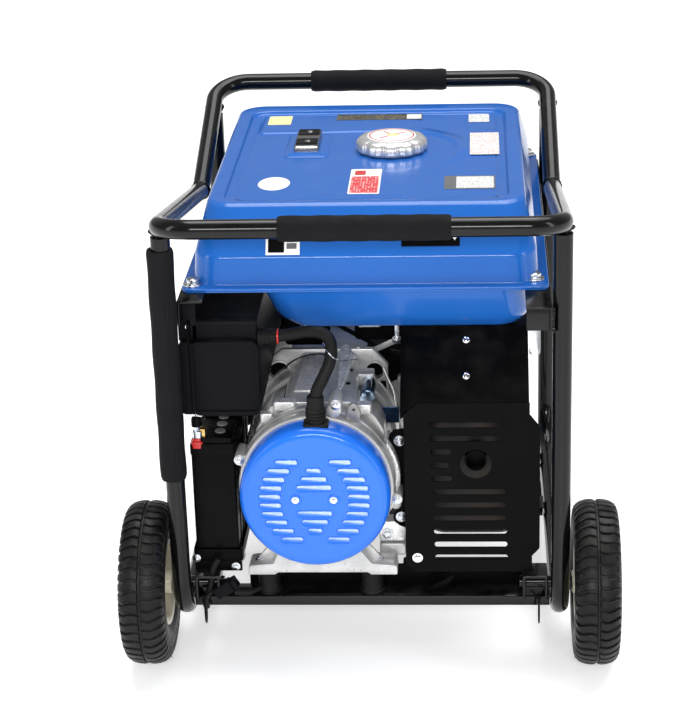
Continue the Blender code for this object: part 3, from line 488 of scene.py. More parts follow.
def rod(start, end, radius, sides=32, bevel=0.0, tip=None):
    """A round bar between two points; tip gives the far end's radius where it tapers."""
    start, end = Vector(start), Vector(end)
    run = end - start
    turn = run.to_track_quat("Z", "Y").to_euler()
    bpy.ops.mesh.primitive_cone_add(vertices=sides, radius1=radius, radius2=radius if tip is None else tip,
            depth=run.length, location=(start + end) / 2, rotation=turn)
    obj = take(bpy.context.object)
    fix_place()
    return ease_edges(obj, bevel, 2) if bevel else obj


def mesh_object(bm, name="piece"):
    """An object from a finished bmesh, cleaned and facing outward."""
    bmesh.ops.remove_doubles(bm, verts=bm.verts, dist=0.000005)
    bmesh.ops.recalc_face_normals(bm, faces=bm.faces)
    mesh = bpy.data.meshes.new(name)
    bm.to_mesh(mesh)
    bm.free()
    obj = bpy.data.objects.new(name, mesh)
    bpy.context.scene.collection.objects.link(obj)
    return take(obj)


def skin(bm, rings, caps=True, closed=False):
    """Add the faces between rings that all have the same number of points."""
    rows = [[bm.verts.new(point) for point in ring] for ring in rings]
    pairs = list(zip(rows, rows[1:]))
    if closed:
        pairs.append((rows[-1], rows[0]))
    for low, high in pairs:
        for i in range(len(low)):
            j = (i + 1) % len(low)
            bm.faces.new((low[i], low[j], high[j], high[i]))
    if caps and not closed:
        bm.faces.new(rows[0])
        bm.faces.new(rows[-1])


def loft(rings, caps=True, closed=False):
    """A shape skinned over a list of rings."""
    bm = bmesh.new()
    skin(bm, rings, caps, closed)
    return mesh_object(bm)


def eased(points, reach, steps=3):
    """The same outline or profile with every inner corner rounded; points may have any number of values."""
    out = [tuple(points[0])]
    for before, here, after in zip(points, points[1:], points[2:]):
        back = math.dist(before, here)
        ahead = math.dist(here, after)
        a = min(reach / back, 0.45) if back else 0
        b = min(reach / ahead, 0.45) if ahead else 0
        start = [h + (p - h) * a for h, p in zip(here, before)]
        end = [h + (p - h) * b for h, p in zip(here, after)]
        for k in range(steps + 1):
            t = k / steps
            out.append(tuple((1 - t) ** 2 * s + 2 * t * (1 - t) * h + t * t * e for s, h,
                    e in zip(start, here, end)))
    out.append(tuple(points[-1]))
    return out


def turned(profile, centre, axis, steps=64, reach=0.0006):
    """Spin an (along, radius) profile round an axis. A profile off the axis is closed on itself."""
    axis, centre = Vector(axis), Vector(centre)
    side = Z if abs(axis.z) < 0.5 else X
    on_axis = profile[0][1] == 0 and profile[-1][1] == 0
    if not on_axis:
        profile = list(profile) + [profile[0]]
    profile = eased(profile, reach)
    points = [centre + axis * along + side * radius for along, radius in profile]
    mesh = bpy.data.meshes.new("profile")
    mesh.from_pydata(points, [(i, i + 1) for i in range(len(points) - 1)], [])
    obj = bpy.data.objects.new("turned", mesh)
    bpy.context.scene.collection.objects.link(obj)
    take(obj)
    bpy.ops.object.mode_set(mode="EDIT")
    bpy.ops.mesh.select_all(action="SELECT")
    bpy.ops.mesh.spin(steps=steps, angle=2 * math.pi, center=centre, axis=axis)
    bpy.ops.mesh.select_all(action="SELECT")
    bpy.ops.mesh.remove_doubles(threshold=0.00001)
    bpy.ops.mesh.normals_make_consistent(inside=False)
    bpy.ops.object.mode_set(mode="OBJECT")
    return obj


def sweep(path, radii, sides=32):
    """Rings of a round section carried along a path without twist."""
    path = [Vector(point) for point in path]
    if not isinstance(radii, (list, tuple)):
        radii = [radii] * len(path)
    tangents = []
    for i in range(len(path)):
        before, after = path[max(i - 1, 0)], path[min(i + 1, len(path) - 1)]
        tangents.append((after - before).normalized())
    normal = tangents[0].orthogonal().normalized()
    rings = []
    for point, tangent, radius in zip(path, tangents, radii):
        normal = (normal - tangent * normal.dot(tangent)).normalized()
        across = tangent.cross(normal)
        ring = []
        for k in range(sides):
            turn = 2 * math.pi * (k + 0.5) / sides
            ring.append(point + (normal * math.cos(turn) + across * math.sin(turn)) * radius)
        rings.append(ring)
    return rings


def smooth_route(points, per_span=8):
    """A smooth curve through a few given points."""
    points = [Vector(p) for p in points]
    ends = [points[0] * 2 - points[1]] + points + [points[-1] * 2 - points[-2]]
    out = []
    for a, b, c, d in zip(ends, ends[1:], ends[2:], ends[3:]):
        for k in range(per_span):
            t = k / per_span
            out.append(0.5 * (b * 2 + (c - a) * t + (a * 2 - b * 5 + c * 4 - d) * t * t
                    + (b * 3 - a - c * 3 + d) * t ** 3))
    out.append(points[-1])
    return out


def wire(points, radius, sides=12):
    """A round cord or hose through a few points."""
    return loft(sweep(smooth_route(points), radius, sides))


def bend(centre, start, end, radius, steps=14):
    """Points of a quarter bend from one unit direction to another."""
    points = []
    for k in range(steps + 1):
        turn = math.pi / 2 * k / steps
        points.append(Vector(centre) + (Vector(start) * math.cos(turn)
                + Vector(end) * math.sin(turn)) * radius)
    return points


def rounded_ring(x0, x1, y0, y1, radius, z, per_corner=10):
    """A rectangle with rounded corners at height z."""
    ring = []
    for cx, cy, turn in ((x1, y1, 0), (x0, y1, 90), (x0, y0, 180), (x1, y0, 270)):
        ox = cx - radius if turn in (0, 270) else cx + radius
        oy = cy - radius if turn in (0, 90) else cy + radius
        for k in range(per_corner + 1):
            angle = math.radians(turn + 90 * k / per_corner)
            ring.append((ox + radius * math.cos(angle), oy + radius * math.sin(angle), z))
    return ring


def swap(ring, order):
    """Re-order the coordinates of a ring drawn flat in XY, such as "yzx" for one drawn in the YZ plane."""
    return [tuple(point["xyz".index(letter)] for letter in order) for point in ring]


def joined(pieces):
    """Several shapes made one object."""
    deselect()
    for piece in pieces:
        piece.select_set(True)
    bpy.context.view_layer.objects.active = pieces[0]
    if len(pieces) > 1:
        bpy.ops.object.join()
    return take(bpy.context.view_layer.objects.active)


def cut(obj, cutter):
    """Take one shape out of another."""
    apply(obj, "BOOLEAN", operation="DIFFERENCE", solver="EXACT", object=cutter)
    bpy.data.objects.remove(cutter, do_unlink=True)
    return obj


def copy_at(obj, matrix):
    made = obj.copy()
    made.data = obj.data.copy()
    bpy.context.scene.collection.objects.link(made)
    made.data.transform(matrix)
    return made


def settle(shape, name, finish, body="frame", replaces=None, sharp=32):
    """Name a piece, or a list of shapes made one, give it its finish and let it ride on its body."""
    obj = joined(shape) if isinstance(shape, list) else shape
    obj.name = name
    obj.data.name = name
    take(obj)
    fix_place()
    bpy.ops.object.shade_smooth_by_angle(angle=math.radians(sharp), keep_sharp_edges=False)
    obj.data.materials.clear()
    obj.data.materials.append(FINISHES[finish])
    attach(obj, body)
    if replaces:
        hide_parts(replaces)
    return obj


def refined(node, finish, width=0.0008, segments=2, angle=30):
    """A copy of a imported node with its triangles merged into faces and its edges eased."""
    source = frame["nodes"][node]
    obj = bpy.data.objects.new(node + "_fine", source.data.copy())
    bpy.context.scene.collection.objects.link(obj)
    take(obj)
    bpy.ops.object.mode_set(mode="EDIT")
    bpy.ops.mesh.select_all(action="SELECT")
    bpy.ops.mesh.remove_doubles(threshold=0.00001)
    bpy.ops.mesh.dissolve_limited(angle_limit=math.radians(0.5))
    bpy.ops.object.mode_set(mode="OBJECT")
    if width:
        ease_edges(obj, width, segments, angle)
    return settle(obj, node + "_fine", finish, BODY_OF[node], node)


def hex_bolt(size, washer=True):
    """A hexagon head on a washer, standing up from the origin; size is the head's radius."""
    pieces = []
    base = 0.0
    if washer:
        pieces.append(rod((0, 0, 0), (0, 0, size * 0.28), size * 1.65, 28, size * 0.08))
        base = size * 0.28
    head = rod((0, 0, base - size * 0.02), (0, 0, base + size * 0.85), size * 1.12, 6)
    pieces.append(ease_edges(head, size * 0.1, 2))
    pieces.append(rod((0, 0, base), (0, 0, base + size * 0.9), size * 0.62, 20, size * 0.1))
    pieces.append(rod((0, 0, base), (0, 0, base + size * 0.16), size * 1.3, 28, size * 0.05))
    return joined(pieces)


def cross_screw(size):
    """A domed screw head with a cross recess."""
    head = turned([(0, 0), (0, size), (size * 0.35, size * 0.92), (size * 0.62, size * 0.6),
            (size * 0.7, 0)], (0, 0, 0), Z, 24, size * 0.2)
    for turn in (0, math.pi / 2):
        slot = block((-size * 0.55, -size * 0.1, size * 0.35), (size * 0.55, size * 0.1, size))
        slot.data.transform(Matrix.Rotation(turn, 4, "Z"))
        cut(head, slot)
    return head


def fasten(name, master, spots, finish="zinc", body="frame"):
    """Copies of one fastener at (point, outward direction, turn) places, joined into one piece."""
    made = []
    for point, out, turn in spots:
        facing = Vector(out).to_track_quat("Z", "Y").to_matrix().to_4x4()
        place = Matrix.Translation(point) @ facing @ Matrix.Rotation(math.radians(turn), 4, "Z")
        made.append(copy_at(master, place))
    bpy.data.objects.remove(master, do_unlink=True)
    return settle(made, name, finish, body)


def weld(name, path, radius, body="frame", finish="black_enamel"):
    """A rippled weld bead along a path."""
    radii = [radius * (1 + 0.16 * math.sin(k * 1.9) + 0.08 * math.sin(k * 0.7 + 1))
            for k in range(len(path))]
    return settle(loft(sweep(path, radii, 10)), name, finish, body)


def ring_path(centre, axis, radius, steps=48):
    """Points round a circle, ending where it starts."""
    facing = Vector(axis).to_track_quat("Z", "Y")
    out = []
    for k in range(steps + 1):
        turn = 2 * math.pi * k / steps
        out.append(Vector(centre) + facing @ Vector((math.cos(turn), math.sin(turn), 0)) * radius)
    return out


def sticker(name, outline, finish, lift=0.0):
    """A thin printed label from a flat outline of points on a surface."""
    bm = bmesh.new()
    bm.faces.new([bm.verts.new(point) for point in outline])
    bm.faces.ensure_lookup_table()
    bm.normal_update()
    out = bm.faces[0].normal.copy()
    if out.z < 0 or (abs(out.z) < 0.1 and out.y > 0):
        bmesh.ops.reverse_faces(bm, faces=bm.faces)
        out = -out
    bmesh.ops.translate(bm, verts=bm.verts, vec=out * lift)
    mesh = bpy.data.meshes.new(name)
    bm.to_mesh(mesh)
    bm.free()
    obj = bpy.data.objects.new(name, mesh)
    bpy.context.scene.collection.objects.link(obj)
    apply(obj, "SOLIDIFY", thickness=0.0002, offset=1.0)
    return settle(obj, name, finish)


# ---------------------------------------------------------------- frame


def mitred(ring, direction, joint, normal):
    """A tube end slid along the tube on to a cutting plane."""
    out = []
    for point in ring:
        out.append(point - direction * ((point - joint).dot(normal) / direction.dot(normal)))
    return out


def make_hoop(name, sign):
    """Lifting hoop: a crossbar whose bent ends run down to the middle of the frame."""
    corner = 0.05
    bar = Vector((0, sign * BAR_Y, BAR_Z))
    joint = Vector((0, KINK_Y, KINK_Z))
    run = (bar - joint).normalized()
    left, right = -X * FRAME_X, X * FRAME_X
    path = [joint + left] + bend(bar + left + X * corner - run * corner, -X, run, corner)
    path += bend(bar + right - X * corner - run * corner, run, X, corner) + [joint + right]
    rings = sweep(path, TUBE_R, 36)
    other = (Vector((0, -sign * BAR_Y, BAR_Z)) - joint).normalized()
    normal = (run - other).normalized()
    rings[0] = mitred(rings[0], run, joint + left, normal)
    rings[-1] = mitred(rings[-1], run, joint + right, normal)
    settle(loft(rings), name + "_tube", "black_enamel", replaces=name)
    steps = [math.pi * 2 * i / 48 for i in range(49)]
    across = normal.cross(X)
    for k, side in enumerate((left, right)):
        loop = [joint + side + X * math.cos(t) * TUBE_R + across * math.sin(t) * TUBE_R * 1.02
                for t in steps]
        if sign < 0:
            weld("hoop_joint_weld_%d" % k, loop, 0.0021)


def make_side_loop(name, sign):
    """Two uprights and the base rail between them, bent from one tube, coped under the hoops."""
    x = sign * FRAME_X
    radius = 0.07
    z = BASE_Z + radius
    near_top, far_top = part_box("frame_loop_right")[1].z, 0.6045
    path = [(x, -UPRIGHT_Y, near_top)]
    path += bend((x, -UPRIGHT_Y + radius, z), -Y, -Z, radius)
    path += bend((x, UPRIGHT_Y - radius, z), -Z, Y, radius)
    path += [(x, UPRIGHT_Y, far_top)]
    settle(loft(sweep(path, TUBE_R, 36)), name + "_tube", "black_enamel", replaces=name)
    slope = (BAR_Z - KINK_Z) / (BAR_Y + KINK_Y)
    far_slope = (BAR_Z - KINK_Z) / (BAR_Y - KINK_Y)
    for end, y, tilt in (("near", -UPRIGHT_Y, -slope), ("far", UPRIGHT_Y, far_slope)):
        bar_z = BAR_Z - (BAR_Y - abs(y)) * abs(tilt) - TUBE_R * 0.9
        path = []
        for k in range(49):
            turn = 2 * math.pi * k / 48
            height = bar_z + tilt * TUBE_R * math.sin(turn) + 0.3 * TUBE_R * math.cos(turn) ** 2
            path.append((x + TUBE_R * 1.02 * math.cos(turn), y + TUBE_R * 1.02 * math.sin(turn), height))
        weld("%s_%s_weld" % (name, end), path, 0.002)


def make_grip(name, sign):
    """Foam sleeve on a crossbar, a little uneven along its length."""
    low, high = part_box(name)
    x0, x1 = low.x, high.x
    outer = (high.z - low.z) / 2
    centre = Vector((0, sign * BAR_Y, BAR_Z))
    count = 60
    inner = [centre + X * x for x in (x1, x0)]
    path = [centre + X * (x0 + (x1 - x0) * k / count) for k in range(count + 1)]
    radii = [outer - 0.00035 + 0.0003 * math.sin(k * 0.55 + sign) for k in range(count + 1)]
    radii[0] = radii[-1] = outer - 0.0018
    radii[1] = radii[-2] = outer - 0.0006
    rings = sweep(path, radii, 40) + sweep(inner[::-1], TUBE_R, 40)[::-1]
    settle(loft(rings, closed=True), name + "_foam", "foam", replaces=name, sharp=50)


def make_sleeve():
    """Foam pad wrapped round the near left upright, with its seam and slack edges."""
    low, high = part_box("upright_sleeve")
    cx, cy = (low.x + high.x) / 2, (low.y + high.y) / 2
    rx, ry = (high.x - low.x) / 2, (high.y - low.y) / 2
    count = 64
    rings = []
    for k in range(count + 1):
        z = low.z + (high.z - low.z) * k / count
        shrink = 0.0012 if k in (0, count) else 0.0
        ring = []
        for i in range(48):
            turn = 2 * math.pi * i / 48
            squared = 1 + 0.05 * abs(math.sin(2 * turn))
            wave = 0.0004 * math.sin(k * 0.42 + 3 * math.sin(turn)) - 0.0006
            side = wave - shrink
            ring.append((cx + min(max((rx + side) * squared * math.cos(turn), -rx), rx), cy
                    + min(max((ry + side) * squared * math.sin(turn), -ry), ry), z))
        rings.append(ring)
    bore = [[(-FRAME_X + 0.0128 * math.cos(2 * math.pi * i / 48), -UPRIGHT_Y
            + 0.0128 * math.sin(2 * math.pi * i / 48), z) for i in range(48)] for z in (high.z, low.z)]
    settle(loft(rings + bore, closed=True), "upright_sleeve_foam", "foam", replaces="upright_sleeve",
            sharp=50)
    seam = [(-FRAME_X + 0.006, low.y + 0.0004 + 0.0002 * math.sin(k), low.z + (high.z - low.z) * k / 40)
            for k in range(41)]
    settle(loft(sweep(seam, 0.0006, 6)), "sleeve_seam", "rubber")


def make_cross_members():
    """The three members across the base, with their weld beads."""
    for name in ("cross_member_near", "cross_member_mid", "cross_member_far"):
        refined(name, "black_enamel", 0.0009)
        low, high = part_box(name)
        for side, x in (("left", -1), ("right", 1)):
            end = Vector((x * (high.x - 0.0005), 0, high.z - 0.0006))
            path = [end + Y * (low.y + (high.y - low.y) * k / 30) for k in range(31)]
            weld("%s_weld_%s" % (name, side), path, 0.0018)


def make_sill():
    """Black sheet sill behind the near mounts, with a folded top and a hook."""
    sill = slab("y", (-0.168, 0.208), (0.09, 0.122), 0.003, (-0.245, -0.2436), 0.0004)
    fold = slab("z", (0.042, 0.208), (-0.245, -0.225), 0.003, (0.1206, 0.122), 0.0004)
    hook = prism([(0.07, 0.094), (0.098, 0.094), (0.112, 0.116), (0.108, 0.116)], "y", -0.27, -0.268,
            0.0004)
    settle([sill, fold, hook], "near_sill", "satin_black")


def make_rails():
    """The two rails that carry the tank, and the end plate of the right one."""
    for name in ("tank_rail_left", "tank_rail_right"):
        refined(name, "black_enamel", 0.0007)
    low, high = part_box("tank_rail_right")
    post = block((0.2065, low.y + 0.004, low.z + 0.001), (0.2385, low.y + 0.0065, high.z - 0.0034), 0.0006)
    settle(post, "rail_end_plate", "black_enamel")
    path = [(high.x + 0.0008 + 0.0006 * math.sin(k * 2.2), low.y + 0.003, low.z + (high.z - low.z) * k / 26)
            for k in range(27)]
    weld("rail_upright_weld", path, 0.0026)


def make_feet():
    """Rubber feet on short threaded stems."""
    for name, sign in (("foot_left", -1), ("foot_right", 1)):
        low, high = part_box(name)
        centre = (sign * FRAME_X, (low.y + high.y) / 2, 0)
        profile = [(0, 0), (0.0008, 0.024), (0.003, 0.026), (0.008, 0.027), (0.018, 0.0235),
                (0.0205, 0.0235), (0.022, 0.0225), (0.03, 0.021), (0.034, 0.0125), (0.034, 0.008),
                (0.036, 0)]
        settle(turned(profile, centre, Z, 56, 0.0012), name + "_rubber", "rubber", replaces=name)
        stem = turned([(0.03, 0), (0.03, 0.009), (0.036, 0.009), (0.0365, 0.012), (0.05, 0.012),
                (0.0502, 0.018), (0.0545, 0.018), (0.0545, 0)], centre, Z, 40, 0.0006)
        settle(stem, name + "_stem", "black_enamel")


def make_frame():
    make_hoop("frame_hoop_near", -1)
    make_hoop("frame_hoop_far", 1)
    make_side_loop("frame_loop_left", -1)
    make_side_loop("frame_loop_right", 1)
    make_grip("grip_near", -1)
    make_grip("grip_far", 1)
    make_sleeve()
    make_cross_members()
    make_sill()
    make_rails()
    make_feet()


# ---------------------------------------------------------------- wheels

TYRE_LOW, TYRE_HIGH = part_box("tyre_right")
TYRE_R = (TYRE_HIGH.z - TYRE_LOW.z) / 2
TYRE_HALF = (TYRE_HIGH.x - TYRE_LOW.x) / 2
WHEEL = Vector(((TYRE_LOW.x + TYRE_HIGH.x) / 2, (TYRE_LOW.y + TYRE_HIGH.y) / 2, TYRE_LOW.z + TYRE_R))
LUGS = 46


def tread_section(u):
    """(across, radius, normal across, normal outward) of the carcass at u from the centre to the bead."""
    points = eased([(0.0022, 0.1076), (0.012, 0.1072), (0.0215, 0.1042), (0.0272, 0.0978), (0.0288, 0.086)],
            0.004, 3)
    spans = [math.dist(a, b) for a, b in zip(points, points[1:])]
    reach = u * sum(spans)
    for (a, b), span in zip(zip(points, points[1:]), spans):
        if reach <= span or (a, b) == (points[-2], points[-1]):
            t = min(reach / span, 1) if span else 0
            dx, dr = (b[0] - a[0]) / span, (b[1] - a[1]) / span
            return a[0] + (b[0] - a[0]) * t, a[1] + (b[1] - a[1]) * t, -dr, dx
        reach -= span
    return None


def tread_lug(sign, turn):
    """One curved tread bar from the centre groove round the shoulder."""
    pitch = 2 * math.pi / LUGS
    rings = []
    count = 11
    for k in range(count + 1):
        u = k / count
        across, radius, out_x, out_r = tread_section(u)
        height = 0.0033 * (1 - max(0, u - 0.55) * 1.5)
        if k in (0, count):
            height *= 0.75
        sway = 0.15 * pitch * math.sin(u * 2 * math.pi * 1.15) * sign
        half = pitch * (0.365 - 0.07 * u)
        ring = []
        for w, h in ((-1.12, -0.3), (-1.0, 0.72), (-0.82, 1.0), (0.82, 1.0), (1.0, 0.72), (1.12, -0.3)):
            angle = turn + sway + w * half
            r = radius + out_r * height * h
            x = across + out_x * height * h
            ring.append((sign * x, -math.sin(angle) * r, math.cos(angle) * r))
        rings.append(ring)
    return rings


def make_tyre(name, side):
    """Carcass with its centre groove and sidewall ribs, and the tread bars on it."""
    centre = Vector((side * WHEEL.x, WHEEL.y, WHEEL.z))
    half = [(0.0238, 0.0528), (0.0243, 0.0575), (0.0262, 0.062), (0.0292, 0.067), (0.0298, 0.0685),
            (0.0303, 0.0745), (TYRE_HALF - 0.0002, 0.078), (TYRE_HALF - 0.0002, 0.0805), (0.0304, 0.083),
            (0.029, 0.0872), (0.0282, 0.0905), (0.0275, 0.0968), (0.0215, 0.1042), (0.012, 0.1072),
            (0.0024, 0.1077), (0.0014, 0.1088)]
    profile = half + [(-a, r) for a, r in reversed(half)]
    carcass = turned(profile, (0, 0, 0), X, 96, 0.0012)
    bm = bmesh.new()
    for sign, shift in ((1, 0.0), (-1, 0.5)):
        for k in range(LUGS):
            skin(bm, tread_lug(sign, 2 * math.pi * (k + shift) / LUGS))
    lugs = mesh_object(bm, "lugs")
    hairs = []
    for k in range(26):
        turn = 2 * math.pi * (k + 0.37 * (k % 3)) / 26
        sign = 1 if k % 2 else -1
        r = 0.1015 + 0.003 * math.sin(k * 2.3)
        out = Vector((sign * 0.75, -math.sin(turn) * 0.66, math.cos(turn) * 0.66)).normalized()
        foot = Vector((sign * 0.0255, -math.sin(turn) * r, math.cos(turn) * r))
        hairs.append(rod(foot, foot + out * 0.0045, 0.0005, 6, tip=0.0003))
    tyre = joined([carcass, lugs] + hairs)
    tyre.data.transform(Matrix.Translation(centre))
    settle(tyre, name + "_tread", "tyre_rubber", BODY_OF[name], name, 28)


def make_rim(name, side):
    """Pressed rim with its hub, web and bead flanges, four clamp bolts and a valve."""
    profile = [(-0.0312, 0.0083), (0.0185, 0.0083), (0.0185, 0.014), (0.0165, 0.016), (0.003, 0.0168),
            (0.003, 0.03), (0.0075, 0.0345), (0.0075, 0.04), (0.0035, 0.0445), (0.006, 0.049),
            (0.0225, 0.049), (0.0262, 0.0525), (0.0272, 0.0575), (0.025, 0.0588), (0.0243, 0.054),
            (0.0215, 0.0521), (-0.0215, 0.0521), (-0.0243, 0.054), (-0.025, 0.0588), (-0.0272, 0.0575),
            (-0.0262, 0.0525), (-0.0225, 0.049), (-0.0015, 0.049), (-0.0005, 0.044), (0.004, 0.0395),
            (0.004, 0.0345), (-0.0005, 0.03), (-0.0005, 0.0168), (-0.0295, 0.016), (-0.0312, 0.014)]
    centre = Vector((side * WHEEL.x, WHEEL.y, WHEEL.z))
    rim = turned(profile, centre, X * side, 72, 0.0012)
    settle(rim, name + "_pressing", "rim_enamel", BODY_OF[name], name)
    spots = []
    for k in range(4):
        turn = math.radians(45 + 90 * k)
        place = centre + X * side * 0.003 + Vector((0, math.cos(turn), math.sin(turn))) * 0.0235
        spots.append((place, X * side, 20 * k))
    fasten(name + "_bolts", hex_bolt(0.0042), spots, "zinc", BODY_OF[name])
    race = turned([(0.0186, 0.0086), (0.0186, 0.0155), (0.0196, 0.0152), (0.0196, 0.0088)], centre,
            X * side, 48, 0.0004)
    settle(race, name + "_bearing", "steel", BODY_OF[name])
    foot = centre + Vector((side * 0.004, 0.0, 0.0455))
    valve = joined([rod(foot, foot + X * side * 0.016, 0.0032, 20, 0.0005), rod(foot + X * side * 0.015,
            foot + X * side * 0.0215, 0.0038, 20, 0.0007)])
    settle(valve, name + "_valve", "rubber", BODY_OF[name])


def make_axle(name, side):
    """Saddle bracket welded to the cross member, with the stub axle, washer and split pin."""
    centre = Vector((0, WHEEL.y, WHEEL.z))
    outline = [(0.203, 0.0938), (0.203, 0.13), (0.2365, 0.13), (0.2365, 0.0938), (0.2325, 0.0938),
            (0.2325, 0.126), (0.207, 0.126), (0.207, 0.0938)]
    rings = [[(side * x, y, z) for x, z in outline] for y in (-0.298, -0.258)]
    saddle = ease_edges(loft(rings), 0.0012, 3)
    settle(saddle, name + "_saddle", "black_enamel")
    profile = [(0.199, 0), (0.199, 0.008), (0.2655, 0.008), (0.2655, 0.0115), (0.2688, 0.0115),
            (0.2688, 0.008), (0.3196, 0.008), (0.3196, 0.0125), (0.3215, 0.0125), (0.3215, 0.008),
            (0.3305, 0.0078), (0.3305, 0)]
    pin = turned(profile, centre, X * side, 40, 0.0006)
    settle(pin, name + "_pin", "black_enamel", replaces=name)
    hole = centre + X * side * 0.3255
    split = joined([rod(hole - Z * 0.0115, hole + Z * 0.0115, 0.0012, 10),
            loft(sweep(ring_path(hole + Z * 0.0125, Y, 0.002, 20), 0.001, 8))])
    settle(split, name + "_split_pin", "zinc")


def make_wheels():
    for end, side in (("left", -1), ("right", 1)):
        make_tyre("tyre_" + end, side)
        make_rim("rim_" + end, side)
        make_axle("axle_" + end, side)


# ---------------------------------------------------------------- tank

TANK_HX = TANK_HIGH.x
TANK_NEAR, TANK_FAR = TANK_LOW.y, TANK_HIGH.y
SEAM_Z = TANK_LOW.z - 0.0002


def tank_rings(profile, reach):
    """Rings from (side inset, near y, far y, corner radius, z) values, with the folds rounded."""
    rings = []
    for inset, near, far, radius, z in eased(profile, reach, 4):
        rings.append(rounded_ring(-TANK_HX + inset, TANK_HX - inset, near, far, radius, z))
    return rings


def make_tank_upper():
    """Upper shell: flange, wall, sloped shoulder, raised border and recessed top panel."""
    outer = [(0.0, TANK_NEAR, TANK_FAR, 0.012, SEAM_Z + 0.0002), (0.0, TANK_NEAR, TANK_FAR, 0.012, 0.5268),
            (0.0128, -0.2492, 0.3322, 0.034, 0.527), (0.015, -0.246, 0.33, 0.036, 0.564),
            (0.0285, -0.203, 0.29, 0.036, 0.6185), (0.033, -0.197, 0.285, 0.034, TANK_HIGH.z),
            (0.049, -0.1865, 0.256, 0.028, TANK_HIGH.z), (0.0525, -0.183, 0.2525, 0.025, TOP_Z),
            (0.064, -0.1715, 0.241, 0.02, TOP_Z)]
    shell = tank_rings(outer, 0.003)
    inner = [(0.066, -0.1695, 0.239, 0.02, TOP_Z - 0.002), (0.034, -0.198, 0.285, 0.034, 0.615),
            (0.017, -0.244, 0.328, 0.036, 0.563), (0.0155, -0.2465, 0.3295, 0.036, SEAM_Z + 0.0002)]
    obj = loft(shell + tank_rings(inner, 0.002), closed=True)
    settle(obj, "tank_upper_shell", "tank_enamel", replaces="tank_upper", sharp=60)


def panel_height(x, y):
    """Height of the pressed step that runs across behind the gauge and curls round the filler."""
    away = math.hypot(x - CAP_X, y - CAP_Y)
    turn = math.degrees(math.atan2(y - CAP_Y, x - CAP_X))
    if x < CAP_X:
        inside = CAP_Y + 0.092 - (CAP_X - x) * 0.03 - y
        return 0.003 / (1 + math.exp(inside / 0.0016))
    rise = 0.003 / (1 + math.exp((0.092 - away) / 0.0016))
    fade = min(max((turn + 45) / 40, 0), 1)
    level_out = min(max((away - 0.095) / 0.022, 0), 1) * min(max((82 - turn) / 30, 0), 1)
    return rise * fade * (1 - level_out)


def make_tank_panel():
    """The recessed top panel, with its pressed step behind the gauge and round the filler."""
    x0, x1, y0, y1 = -TANK_HX + 0.0645, TANK_HX - 0.0645, -0.171, 0.2405
    bpy.ops.mesh.primitive_grid_add(x_subdivisions=150, y_subdivisions=180, size=1,
            location=((x0 + x1) / 2, (y0 + y1) / 2, TOP_Z - 0.0004))
    obj = take(bpy.context.object)
    obj.scale = (x1 - x0 + 0.006, y1 - y0 + 0.006, 1)
    fix_place()
    for vert in obj.data.vertices:
        border = min(vert.co.x - x0, x1 - vert.co.x, vert.co.y - y0, y1 - vert.co.y)
        ease = min(max(border / 0.01, 0.0), 1.0)
        vert.co.z += panel_height(vert.co.x, vert.co.y) * ease * ease * (3 - 2 * ease) + 0.0003
        if border < 0:
            vert.co.z -= 0.0012
    apply(obj, "SOLIDIFY", thickness=0.0012, offset=-1.0)
    settle(obj, "tank_top_panel", "tank_enamel", sharp=60)


def make_tank_lower():
    """Lower shell: flange and the pan that hangs between the rails."""
    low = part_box("tank_lower")[0].z
    rows = [(-0.07, 0.17, -0.175, 0.26, 0.03, low), (-0.1, 0.2, -0.205, 0.29, 0.03, low), (-0.121, 0.2135,
            -0.2225, 0.3055, 0.036, low + 0.018), (-0.14, 0.2045, -0.245, 0.328, 0.036, SEAM_Z - 0.0018),
            (-TANK_HX + 0.0005, TANK_HX - 0.0005, TANK_NEAR, TANK_FAR, 0.012, SEAM_Z - 0.0018)]
    rings = [rounded_ring(*row) for row in eased(rows, 0.012, 5)]
    rings.append(rounded_ring(*rows[-1][:5], SEAM_Z - 0.0002))
    settle(loft(rings), "tank_lower_shell", "tank_enamel", replaces="tank_lower", sharp=60)


def make_tank_fasteners():
    """Washered bolts near the corners of the tank flange."""
    spots = []
    for x, y in ((-0.224, -0.244), (0.219, -0.232), (-0.222, 0.333), (0.222, 0.333)):
        spots.append(((x, y, 0.527), Z, 17 * (x + 1)))
    fasten("tank_bolts", hex_bolt(0.0076), spots)


def flange_plane(x, z):
    """Point on the near sloped shoulder of the tank at height z."""
    t = (z - 0.564) / (0.6185 - 0.564)
    return (x, -0.246 + t * (0.246 - 0.203) - 0.0001, z)


LABEL_CORNER = 0.002


